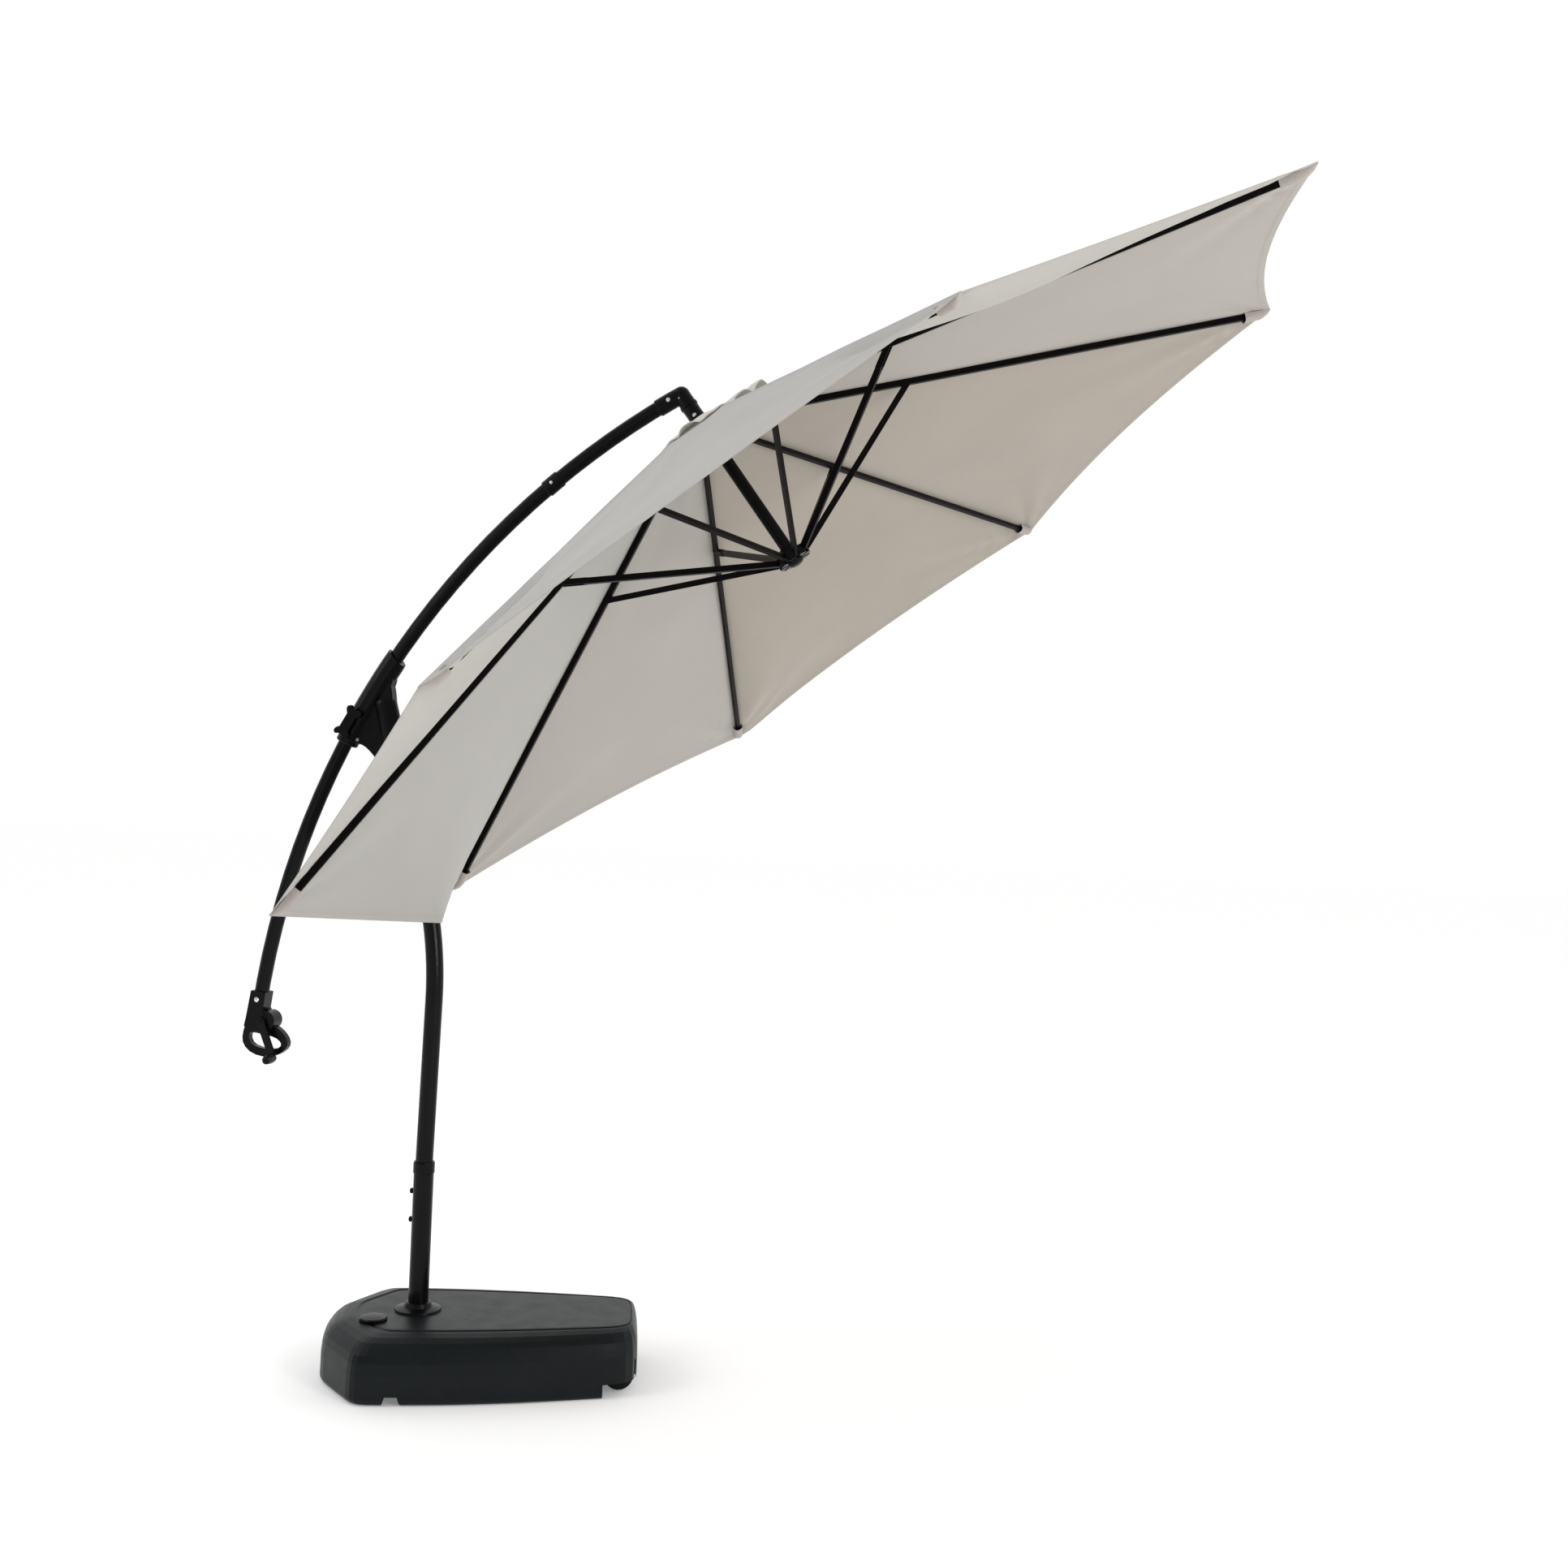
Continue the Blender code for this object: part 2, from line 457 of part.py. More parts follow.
rivet("elbow_rivet_arm", arc_pt(D(59.25)), 0.02085, r=0.0050)
rivet("elbow_rivet_pole", HUB + AX * 0.0200, 0.02075, r=0.0050)

# arm end: grip block with D handle, spool and crank
BB = D(6.6)
QB, TB = arc_pt(D(7.9)), arc_dir(D(6.6))
NB = Vector((TB.z, 0, -TB.x))              # to the right
GB = Matrix.Translation(QB) @ Matrix((NB, TB, Vector((0, -1, 0)))).transposed().to_4x4()   # X right, Y up the arm, Z to the front


def g(x, y, z=0.0):
    return GB @ Vector((x, y, z))


block_o = [(-0.0188, 0.000), (0.0197, 0.000), (0.0192, -0.0400), (0.0280, -0.0520), (0.0340, -0.0860), (0.0300, -0.0960),
           (-0.0130, -0.0965), (-0.0235, -0.0900), (-0.0218, -0.0700), (-0.0208, -0.0500), (-0.0200, -0.0300)]
ring_o = [(-0.0180, -0.0450), (0.0180, -0.0450), (0.0420, -0.0600), (0.0500, -0.0780), (0.0598, -0.0823), (0.0680, -0.0872),
          (0.0767, -0.0938), (0.0850, -0.1025), (0.0903, -0.1129), (0.0902, -0.1225), (0.0862, -0.1312), (0.0780, -0.1400),
          (0.0687, -0.1470), (0.0534, -0.1545), (0.0337, -0.1575), (0.0135, -0.1562), (-0.0039, -0.1510), (-0.0170, -0.1420),
          (-0.0255, -0.1310), (-0.0285, -0.1180), (-0.0280, -0.1020), (-0.0235, -0.0800)]
ring_i = [(-0.0095, -0.1040), (-0.0118, -0.1120), (-0.0105, -0.1205), (-0.0041, -0.1297), (0.0060, -0.1348), (0.0200, -0.1370),
          (0.0390, -0.1372), (0.0560, -0.1350), (0.0680, -0.1300), (0.0738, -0.1240), (0.0732, -0.1175), (0.0690, -0.1128),
          (0.0600, -0.1078), (0.0480, -0.1050), (0.0250, -0.1040), (0.0050, -0.1030)]
grip = outline("grip_handle", ring_o, 0.0095, GB, PLAST, holes=[ring_i], origin=QB, bevel=0.0042)
grip_block = outline("add_grip_block", block_o, 0.0245, GB, PLAST, cutter=True, bevel=0.0030)
drum = bar("add_drum", g(0.0290, -0.0685, -0.0225), g(0.0290, -0.0685, 0.0225), 0.0245, PLAST, 32, cutter=True)
peg = bar("add_peg", g(0.0240, -0.0500, 0.0090), g(0.0250, -0.0378, 0.0090), 0.0045, PLAST, 14, cutter=True)
SP = g(0.021, -0.069)                      # spool axis point
bm = bmesh.new()
sweep(bm, arc_path(D(6.55), D(9.5), 3), 0.0179, 20)
cut_tube = put("cut_grip_tube", bm, PLAST, cutter=True)
spool_c = bar("cut_spool", SP + Vector((0, -0.0140, 0)), SP + Vector((0, 0.0140, 0)), 0.0165, PLAST, 24, cutter=True)
shaft_c = bar("cut_shaft", SP + Vector((0, -0.05, 0)), SP + Vector((0, 0.0172, 0)), 0.0042, PLAST, 16, cutter=True)
CS = g(0.0093, -0.0660)                    # where the cord leaves the spool
cord_c = bar("cut_cord_way", CS, g(-0.0002, -0.0440), 0.0040, PLAST, 12, cutter=True)
cut(grip, grip_block, drum, peg, op="UNION")
cut(grip, cut_tube, spool_c, shaft_c, cord_c)
SPR = 0.01172
turned("cord_spool", [(0, -0.0165), (0.0040, -0.0165), (0.0040, -0.0125), (0.0150, -0.0125), (0.0150, -0.0110), (SPR - 0.0018, -0.0095),
                      (SPR - 0.0018, 0.0095), (0.0150, 0.0110), (0.0150, 0.0125), (0.0040, 0.0125), (0.0040, 0.0335), (0, 0.0335)],
       SP, (0, -1, 0), STEEL, 20)
CK = Vector((-0.3865, -0.0300, 0.7336))    # crank knob axis point
cd = (Vector((CK.x, 0, CK.z)) - Vector((SP.x, 0, SP.z)))
CL = cd.length
cdn = cd.normalized()
CM = Matrix.Translation(SP + Vector((0, -0.0295, 0))) @ Matrix((cdn, Vector((0, -1, 0)).cross(cdn), Vector((0, -1, 0)))).transposed().to_4x4()
cp = []
for i in range(9):
    a = D(90 + 180 * i / 8)
    cp.append((0.0098 * math.cos(a), 0.0098 * math.sin(a)))
for i in range(9):
    a = D(-90 + 180 * i / 8)
    cp.append((CL + 0.0090 * math.cos(a), 0.0090 * math.sin(a)))
crank = outline("crank_arm", cp, 0.0030, CM, FRAME, origin=SP, holes=[[(0.0044 * math.cos(D(a)), 0.0044 * math.sin(D(a))) for a in range(0, 360, 20)]], bevel=0.0012)
KP = SP + cd
pin = bar("crank_pin", KP + Vector((0, -0.0310, 0)), KP + Vector((0, -0.0630, 0)), 0.0034, STEEL, 14, cutter=True)
cut(crank, pin, op="UNION")
turned("crank_knob", [(0.0037, 0.0), (0.0095, 0.0), (0.0110, 0.0030), (0.0112, 0.0200), (0.0100, 0.0330), (0.0060, 0.0370), (0, 0.0370),
                      (0, 0.0310), (0.0037, 0.0310)], KP + Vector((0, -0.0332, 0)), (0, -1, 0), PLAST, 20)
rivet("grip_rivet", g(0.0003, -0.0204), 0.02465, r=0.0062)

# ---------------------------------------------------------------- canopy frame
bar("centre_pole", HUB + AX * 0.0420, HUB - AX * 0.3900, POLE_R, FRAME, 20, inner=POLE_IN)


def crown(name, s_top, s_bot, r_out, r_core, slot, bore, mat, blind=None):
    """Notched crown: eight radial slots cut from the rim to r_core."""
    pts = []
    n = 4
    da = math.asin(slot / 2 / r_out)
    dc = math.asin(slot / 2 / r_core)
    for az in AZ_SORT:
        a0 = D(az)
        pts.append((r_out * math.cos(a0 - da), r_out * math.sin(a0 - da)))
        pts.append((r_core * math.cos(a0 - dc), r_core * math.sin(a0 - dc)))
        pts.append((r_core * math.cos(a0 + dc), r_core * math.sin(a0 + dc)))
        pts.append((r_out * math.cos(a0 + da), r_out * math.sin(a0 + da)))
        for i in range(1, n):
            a = a0 + da + (D(45) - 2 * da) * i / n
            pts.append((r_out * math.cos(a), r_out * math.sin(a)))
    mtx = Matrix.Translation(HUB + AX * (s_top + s_bot) / 2) @ Matrix((E1, E2, AX)).transposed().to_4x4()
    return outline(name, pts, (s_top - s_bot) / 2, mtx, mat, origin=HUB + AX * s_top)


AZ_SORT = sorted(AZ)
hub = crown("top_hub", 0.0030, -0.0215, 0.0450, 0.0218, 0.0100, 0.0137, PLAST)
cut(hub, bar("cut_hub_bore", HUB + AX * 0.02, HUB - AX * 0.05, 0.0152, PLAST, 24, cutter=True))
runner = crown("runner", -0.3785, -0.4015, 0.0415, 0.0205, 0.0102, 0.0155, PLAST)
dome = turned("runner_dome", [(0, 0.0115), (0.0100, 0.0108), (0.0160, 0.0085), (0.0195, 0.0045), (0.0205, 0.0), (0.0205, -0.004), (0, -0.004)],
              HUB - AX * 0.4010, -AX, PLAST, 24, cutter=True)
neck_r = bar("runner_neck", HUB - AX * 0.3800, HUB - AX * 0.3620, 0.0188, PLAST, 24, cutter=True)
rb_cut = bar("cut_runner_bore", HUB - AX * 0.3500, HUB - AX * 0.3930, 0.0155, PLAST, 24, cutter=True)
rb_cut2 = bar("cut_runner_cord", HUB - AX * 0.3900, HUB - AX * 0.4600, 0.0030, PLAST, 12, cutter=True)
cut(runner, dome, neck_r, op="UNION")
cut(runner, rb_cut, rb_cut2)

ca, sa = math.cos(ALPHA), math.sin(ALPHA)
att_r = PIV_R + ATT * ca - ATT_OFF * sa
att_s = PIV_S - ATT * sa - ATT_OFF * ca
STL = math.hypot(att_r - RUN_R, att_s + RUN_H)
PSI = math.atan2(att_s + RUN_H, att_r - RUN_R)
RIB_END = (R0 + RIB_L * ca - PIV_R) / ca - 0.034

for k, az in enumerate(AZ, 1):
    a = D(az)
    u = E1 * math.cos(a) + E2 * math.sin(a)
    w = -E1 * math.sin(a) + E2 * math.cos(a)
    dr = u * ca - AX * sa
    nr = u * sa + AX * ca
    piv = can(PIV_R, PIV_S, a)
    M = Matrix.Translation(piv) @ Matrix((dr, nr, -w)).transposed().to_4x4()    # X along the rib, Y up out of it
    h = RIB_D / 2
    pts = [(0, h)] + [(-h * math.sin(D(t)), h * math.cos(D(t))) for t in (30, 60, 90, 120, 150)] + [(0, -h), (RIB_END - 0.012, -h),
          (RIB_END, -h * 0.4), (RIB_END, h)]
    outline("rib_%d" % k, pts, RIB_W / 2, M, RIBM, origin=piv)
    # strut, drawn in plan: shaft, then a fork over the rib
    sp = can(RUN_R, -RUN_H, a)
    sd = u * math.cos(PSI) + AX * math.sin(PSI)
    sn = -u * math.sin(PSI) + AX * math.cos(PSI)
    S = Matrix.Translation(sp) @ Matrix((sd, w, sd.cross(w))).transposed().to_4x4()
    f0 = STL - 0.050
    sw, fo, fi, fe = 0.0045, 0.0066, 0.0048, 0.0050
    pts = [(-0.0055, -sw), (f0 - 0.012, -sw), (f0 - 0.004, -fo), (STL + fe, -fo), (STL + fe, -fi), (f0, -fi),
           (f0, fi), (STL + fe, fi), (STL + fe, fo), (f0 - 0.004, fo), (f0 - 0.012, sw), (-0.0055, sw)]
    outline("strut_%d" % k, pts, 0.0072, S, RIBM, origin=can(att_r, att_s, a))


# ---------------------------------------------------------------- cover: one panel pair sewn along each rib
MAST_HIT = Vector((0.0225, 0, 1.082))      # where the hem of the low panel lies against the mast
mh = MAST_HIT - HUB
MH_R, MH_S = -mh.dot(E1), mh.dot(AX)
BAND = 0.0060                              # half width of the strip that lies flat on the rib
SEAM = 0.0004                              # half gap between neighbouring cover pieces


def cover_pt(az, side, f, v):
    """f: 0 at the hub to 1 at the tip. v: 0 on the rib to 1 on the middle of the panel on that side."""
    r_in = 0.052
    rr = r_in + (R0 + RIB_L * ca - r_in) * f
    rib = Vector((rr, -(rr - R0) * math.tan(ALPHA)))            # radius, height
    hem = 0.036
    mid_az = az + side * 22.5
    low = abs(abs(mid_az) - 180) < 1
    fm = f * (1 - hem / 1.27)
    if low:
        mr_, ms_ = r_in * 0.924 + (MH_R - r_in * 0.924) * f, -0.0026 + (MH_S + 0.0026) * f
    else:
        rm = (r_in + (R0 + RIB_L * ca - r_in) * fm)
        mr_, ms_ = rm * math.cos(D(22.5)), -(rm - R0) * math.tan(ALPHA)
    a, m = D(az), D(mid_az)
    p = HUB + (E1 * math.cos(a) + E2 * math.sin(a)) * rib.x + AX * rib.y
    p = p + (-E1 * math.sin(a) + E2 * math.cos(a)) * side * BAND
    um = E1 * math.cos(m) + E2 * math.sin(m)
    wm = -E1 * math.sin(m) + E2 * math.cos(m)
    q = HUB + um * mr_ + AX * ms_ - wm * side * SEAM
    return p.lerp(q, v)


for k, az in enumerate(AZ, 1):
    nf, nv = 5, 2
    bm = bmesh.new()
    cols = []
    for side in (-1, 1):
        for j in (range(nv, -1, -1) if side < 0 else range(0, nv + 1)):
            cols.append([bm.verts.new(cover_pt(az, side, i / nf, j / nv)) for i in range(nf + 1)])
    for a_, b_ in zip(cols, cols[1:]):
        for i in range(nf):
            bm.faces.new((a_[i], a_[i + 1], b_[i + 1], b_[i]))
    bmesh.ops.recalc_face_normals(bm, faces=bm.faces[:])
    fs = bm.faces[:]
    if sum((f.normal for f in fs), Vector()).dot(AX) < 0:
        bmesh.ops.reverse_faces(bm, faces=fs)
    # thicken downwards along the pole axis, so that neighbours keep their seam gap
    ext = bmesh.ops.extrude_face_region(bm, geom=fs)
    bmesh.ops.translate(bm, verts=[v for v in ext["geom"] if isinstance(v, bmesh.types.BMVert)], vec=-AX * COVER_T)
    put("cover_%d" % k, bm, CLOTH, can(PIV_R, PIV_S, D(az)), smooth=False)

bm_prof = [(0.0160, 0.0056), (0.049, 0.0050), (0.075, -0.0020), (0.120, -0.0172), (0.165, -0.0325), (0.165, -0.0337), (0.120, -0.0184),
           (0.074, -0.0032), (0.048, 0.0038), (0.0160, 0.0044)]
turned("vent_cap", bm_prof, HUB, AX, CLOTH, 32)

# ---------------------------------------------------------------- lift cord
cr = 0.0016
bm = bmesh.new()
way = g(0.0010, -0.0465)
path = [(CS, way - CS), (way, way - CS), (arc_pt(D(7.4)), arc_dir(D(7.4)))]
path += [(arc_pt(D(b)), arc_dir(D(b))) for b in (9, 14, 20, 26, 32, 38, 44, 50, 55)]
path += [(PU - nrm * 0.0078 - ta * 0.012, ta)]
for i in range(0, 7):
    a = 2 * half * i / 6
    path.append((PU - nrm * 0.0078 * math.cos(a) + ta * 0.0078 * math.sin(a), ta * math.cos(a) + nrm * math.sin(a)))
sweep(bm, path, cr, 8)
put("lift_cord", bm, CORD)
dtop = PU - nrm * 0.0078 * math.cos(2 * half) + ta * 0.0078 * math.sin(2 * half)
bar("lift_cord_drop", dtop + td * 0.0004, HUB - AX * 0.4110, cr, CORD, 8)
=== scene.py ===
"""Cantilever parasol: the looks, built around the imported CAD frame."""

import json
import math

import bmesh
import bpy
import numpy as np
from mathutils import Matrix, Vector


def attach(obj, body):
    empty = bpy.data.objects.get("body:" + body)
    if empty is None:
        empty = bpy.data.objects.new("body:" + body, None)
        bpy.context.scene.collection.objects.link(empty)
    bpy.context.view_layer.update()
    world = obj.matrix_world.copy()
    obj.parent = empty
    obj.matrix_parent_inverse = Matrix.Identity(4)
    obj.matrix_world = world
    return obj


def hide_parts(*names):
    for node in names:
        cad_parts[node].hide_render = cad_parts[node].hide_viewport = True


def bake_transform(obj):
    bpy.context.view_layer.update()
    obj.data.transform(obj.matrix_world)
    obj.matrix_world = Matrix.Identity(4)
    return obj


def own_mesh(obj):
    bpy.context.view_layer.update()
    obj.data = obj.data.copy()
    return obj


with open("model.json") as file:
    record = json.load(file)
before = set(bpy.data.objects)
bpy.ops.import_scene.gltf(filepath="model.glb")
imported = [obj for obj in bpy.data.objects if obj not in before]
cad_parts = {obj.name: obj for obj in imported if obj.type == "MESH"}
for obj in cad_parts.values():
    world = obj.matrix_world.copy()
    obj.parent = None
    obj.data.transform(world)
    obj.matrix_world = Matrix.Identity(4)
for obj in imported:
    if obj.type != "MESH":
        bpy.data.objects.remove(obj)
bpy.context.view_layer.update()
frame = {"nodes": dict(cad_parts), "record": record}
nodes = frame["nodes"]
D = math.radians
scn = bpy.context.scene
coll = scn.collection

# ------------------------------------------------------------------ camera
cam_data = bpy.data.cameras.new("camera")
cam = bpy.data.objects.new("camera", cam_data)
coll.objects.link(cam)
right = Vector((0.98539, 0.16503, 0.04203))
up = Vector((-0.04043, -0.01300, 0.99910))
back = Vector((0.16543, -0.98620, -0.00614))
cam.matrix_world = Matrix.Translation((1.595, -4.205, 1.457)) @ Matrix((right, up, back)).transposed().to_4x4()
cam_data.sensor_width = 36.0
cam_data.lens = 41.937
cam_data.shift_x = -0.01328
cam_data.shift_y = -0.00792
cam_data.clip_end = 100
scn.camera = cam

# ------------------------------------------------------------------ canopy numbers, as in the part
ARC_C = Vector((1.5585, 0.0, 0.6158))
ARC_R = 2.0134
HUB = Vector((0.606, 0.0, 2.295))
TILT = D(36.9)
ALPHA = 0.330
FOLD = D(80.0)
R0, RIB_L = 0.045, 1.46
AX = Vector((-math.sin(TILT), 0, math.cos(TILT)))
E1 = Vector((math.cos(TILT), 0, math.sin(TILT)))
E2 = Vector((0, 1, 0))
AZ = [-22.5, 22.5, 67.5, 112.5, 157.5, -157.5, -112.5, -67.5]
nHUB, nAX, nE1, nE2 = (np.array(v, float) for v in (HUB, AX, E1, E2))
R_TIP = R0 + RIB_L * math.cos(ALPHA)


# ------------------------------------------------------------------ materials
class Mat:
    """A node material on one Principled shader."""

    def __init__(self, name, base, rough, metal=0.0, spec=0.5):
        self.m = bpy.data.materials.new(name)
        self.m.use_nodes = True
        self.t = self.m.node_tree
        self.b = self.t.nodes["Principled BSDF"]
        self.b.inputs["Base Color"].default_value = (*base, 1)
        self.b.inputs["Roughness"].default_value = rough
        self.b.inputs["Metallic"].default_value = metal
        self.b.inputs["Specular IOR Level"].default_value = spec
        self.m.diffuse_color = (*base, 1)
        self.co = self.node("ShaderNodeTexCoord").outputs["Object"]

    def node(self, kind, **kw):
        n = self.t.nodes.new(kind)
        for k, v in kw.items():
            if k in n.inputs:
                n.inputs[k].default_value = v
            else:
                setattr(n, k, v)
        return n

    def link(self, a, b):
        self.t.links.new(a, b)

    def scaled(self, sx, sy=None, sz=None, src=None):
        m = self.node("ShaderNodeMapping")
        m.inputs["Scale"].default_value = (sx, sy or sx, sz or sx)
        self.link(src or self.co, m.inputs["Vector"])
        return m.outputs["Vector"]

    def noise(self, scale, detail=3.0, rough=0.55, src=None):
        n = self.node("ShaderNodeTexNoise", Scale=scale, Detail=detail, Roughness=rough)
        self.link(src or self.co, n.inputs["Vector"])
        return n.outputs["Fac"]

    def ramp(self, fac, stops):
        r = self.node("ShaderNodeValToRGB")
        e = r.color_ramp.elements
        while len(e) < len(stops):
            e.new(0.5)
        for el, (p, c) in zip(e, stops):
            el.position = p
            el.color = (*c, 1) if len(c) == 3 else c
        self.link(fac, r.inputs["Fac"])
        return r.outputs["Color"]

    def mixc(self, fac, a, b, blend="MIX"):
        n = self.node("ShaderNodeMix", data_type="RGBA", blend_type=blend)
        for s, v in ((n.inputs[0], fac), (n.inputs[6], a), (n.inputs[7], b)):
            if hasattr(v, "links"):
                self.link(v, s)
            elif isinstance(v, (int, float)):
                s.default_value = v
            else:
                s.default_value = (*v, 1)
        return n.outputs[2]

    def math(self, op, a, b=0.0, c=0.0):
        n = self.node("ShaderNodeMath", operation=op)
        for s, v in zip(n.inputs, (a, b, c)):
            if hasattr(v, "links"):
                self.link(v, s)
            else:
                s.default_value = v
        return n.outputs[0]

    def maprange(self, v, a0, a1, b0, b1):
        n = self.node("ShaderNodeMapRange")
        for k, x in (("From Min", a0), ("From Max", a1), ("To Min", b0), ("To Max", b1)):
            n.inputs[k].default_value = x
        self.link(v, n.inputs["Value"])
        return n.outputs["Result"]

    def color(self, s):
        self.link(s, self.b.inputs["Base Color"])
        return self

    def rough(self, s):
        self.link(s, self.b.inputs["Roughness"])
        return self

    def bump(self, h, strength=0.2, dist=0.001, normal=None):
        n = self.node("ShaderNodeBump", Strength=strength, Distance=dist)
        self.link(h, n.inputs["Height"])
        if normal is not None:
            self.link(normal, n.inputs["Normal"])
        self.link(n.outputs["Normal"], self.b.inputs["Normal"])
        return n.outputs["Normal"]


def powder_coat(name, base, rough, grain=900.0, spec=0.20):
    m = Mat(name, base, rough, spec=spec)
    fine, wide = m.noise(grain, 2.0), m.noise(14.0, 4.0)
    lo = tuple(c * 0.86 for c in base)
    hi = tuple(min(1, c * 1.22) for c in base)
    m.color(m.ramp(wide, [(0.3, lo), (0.7, hi)]))
    m.rough(m.maprange(m.noise(60.0, 5.0), 0.3, 0.7, rough - 0.03, rough + 0.04))
    m.bump(fine, 0.010, 0.0003)
    return m.m


def moulded(name, base, rough, grain=420.0, dist=0.0005, scuff=0.0, spec=0.115):
    m = Mat(name, base, rough, spec=spec)
    wide = m.noise(9.0, 5.0)
    lo = tuple(c * 0.84 for c in base)
    hi = tuple(min(1, c * 1.25) for c in base)
    col = m.ramp(wide, [(0.28, lo), (0.72, hi)])
    if scuff:
        marks = m.noise(38.0, 8.0, 0.72, src=m.scaled(1.0, 0.35, 1.0))
        dust = m.ramp(marks, [(0.58, (0, 0, 0)), (0.74, (1, 1, 1))])
        col = m.mixc(m.math("MULTIPLY", dust, scuff), col, tuple(min(1, c * 2.3 + 0.012) for c in base))
    m.color(col)
    m.rough(m.maprange(m.noise(21.0, 4.0), 0.3, 0.7, rough - 0.03, rough + 0.04))
    v = m.node("ShaderNodeTexVoronoi", Scale=grain)
    m.link(m.co, v.inputs["Vector"])
    m.bump(v.outputs["Distance"], 0.16, dist)
    return m.m


def metal(name, base, rough):
    m = Mat(name, base, rough, metal=1.0)
    streak = m.noise(260.0, 3.0, src=m.scaled(1.0, 1.0, 9.0))
    m.rough(m.maprange(streak, 0.3, 0.7, rough - 0.06, rough + 0.12))
    m.color(m.ramp(m.noise(70.0, 4.0), [(0.3, tuple(c * 0.82 for c in base)), (0.7, base)]))
    m.bump(streak, 0.08, 0.0002)
    return m.m


FRAME = powder_coat("frame_paint", (0.0023, 0.0025, 0.0033), 0.19, spec=0.125)
RIBS = powder_coat("rib_paint", (0.0028, 0.0019, 0.0023), 0.36, spec=0.075)
PLAST = moulded("black_moulding", (0.0026, 0.0028, 0.0036), 0.27)
TANKM = moulded("tank_moulding", (0.0046, 0.0068, 0.0078), 0.38, grain=300.0, dist=0.0007, scuff=0.10, spec=0.15)
STEEL = metal("rivet_metal", (0.78, 0.78, 0.77), 0.24)
WHEEL = moulded("wheel_moulding", (0.007, 0.007, 0.007), 0.62, grain=600.0)
CORDM = moulded("braid", (0.45, 0.44, 0.41), 0.8, grain=1200.0)

FAMILY = {}
for s in frame["record"]["subparts"]:
    FAMILY[s["node"]] = s["material_slot"]
LOOK = {"tank": TANKM, "sand": CORDM, "frame": FRAME, "plastic": PLAST, "steel": STEEL, "rib_paint": RIBS,
        "cover": PLAST, "cord": CORDM, "wheel": WHEEL}


def dress(obj, mat):
    if not obj.material_slots:
        obj.data.materials.append(mat)
    for sl in obj.material_slots:
        sl.link = "OBJECT"
        sl.material = mat


for n, o in nodes.items():
    dress(o, LOOK[FAMILY[n]])
dress(nodes["cord_spool"], FRAME)
dress(nodes["housing_screw"], metal("screw_metal", (0.30, 0.30, 0.30), 0.34))

# ------------------------------------------------------------------ fabric
FAB = Mat("canopy_polyester", (0.56, 0.53, 0.47), 0.82, spec=0.25)


def build_fabric(m, tint=(1, 1, 1), amount=1.0):
    uv = m.node("ShaderNodeUVMap", uv_map="cloth").outputs["UV"]
    warp = m.node("ShaderNodeTexWave", wave_type="BANDS", bands_direction="X", Scale=220.0)
    weft = m.node("ShaderNodeTexWave", wave_type="BANDS", bands_direction="Y", Scale=220.0)
    for w in (warp, weft):
        m.link(uv, w.inputs["Vector"])
    weave = m.math("MAXIMUM", warp.outputs["Fac"], weft.outputs["Fac"])
    slub = m.noise(90.0, 3.0, src=m.scaled(1.0, 14.0, 1.0, src=uv))
    cloud = m.noise(2.6, 4.0)
    base = (0.428, 0.419, 0.398)
    col = m.ramp(cloud, [(0.30, tuple(b * 0.955 * t for b, t in zip(base, tint))), (0.72, tuple(min(1, b * 1.03 * t) for b, t in zip(base, tint)))])
    col = m.mixc(m.math("MULTIPLY", slub, 0.10), col, tuple(b * 0.80 * t for b, t in zip(base, tint)))
    col = m.mixc(m.maprange(weave, 0.0, 1.0, 0.10, 0.0), col, tuple(b * 0.62 for b in base))
    # painted shade: where the shade attribute is set, the cloth is multiplied by a darker, warm colour that stands in
    # for shaded panels and light passing through the cloth
    shade_fac = m.node("ShaderNodeAttribute", attribute_name="painted_shade").outputs["Fac"]
    shaded_col = m.mixc(1.0, col, (0.875, 0.800, 0.715), blend="MULTIPLY")
    col = m.mixc(shade_fac, col, shaded_col)
    # stitch rows beside the rib seams and along the hem
    rd = m.node("ShaderNodeAttribute", attribute_name="rib_d").outputs["Fac"]
    hd = m.node("ShaderNodeAttribute", attribute_name="hem_d").outputs["Fac"]
    sep = m.node("ShaderNodeSeparateXYZ")
    m.link(uv, sep.inputs[0])
    def row(dist, at, along):
        near = m.math("LESS_THAN", m.math("ABSOLUTE", m.math("SUBTRACT", dist, at)), 0.0006)
        dash = m.math("GREATER_THAN", m.math("FRACT", m.math("MULTIPLY", along, 240.0)), 0.32)
        return m.math("MULTIPLY", near, dash)
    st = m.math("MAXIMUM", row(rd, 0.0034, sep.outputs[1]), row(hd, 0.0150, sep.outputs[0]))
    col = m.mixc(m.math("MULTIPLY", st, 0.55), col, (0.30, 0.28, 0.24))
    m.color(col)
    h = m.math("SUBTRACT", weave, m.math("MULTIPLY", st, 1.5))
    m.bump(h, 0.18, 0.00035)
    m.b.inputs["Sheen Weight"].default_value = 0.25
    m.b.inputs["Sheen Roughness"].default_value = 0.5
    m.rough(m.maprange(m.noise(40.0, 3.0), 0.3, 0.7, 0.76, 0.88))
    return m.m


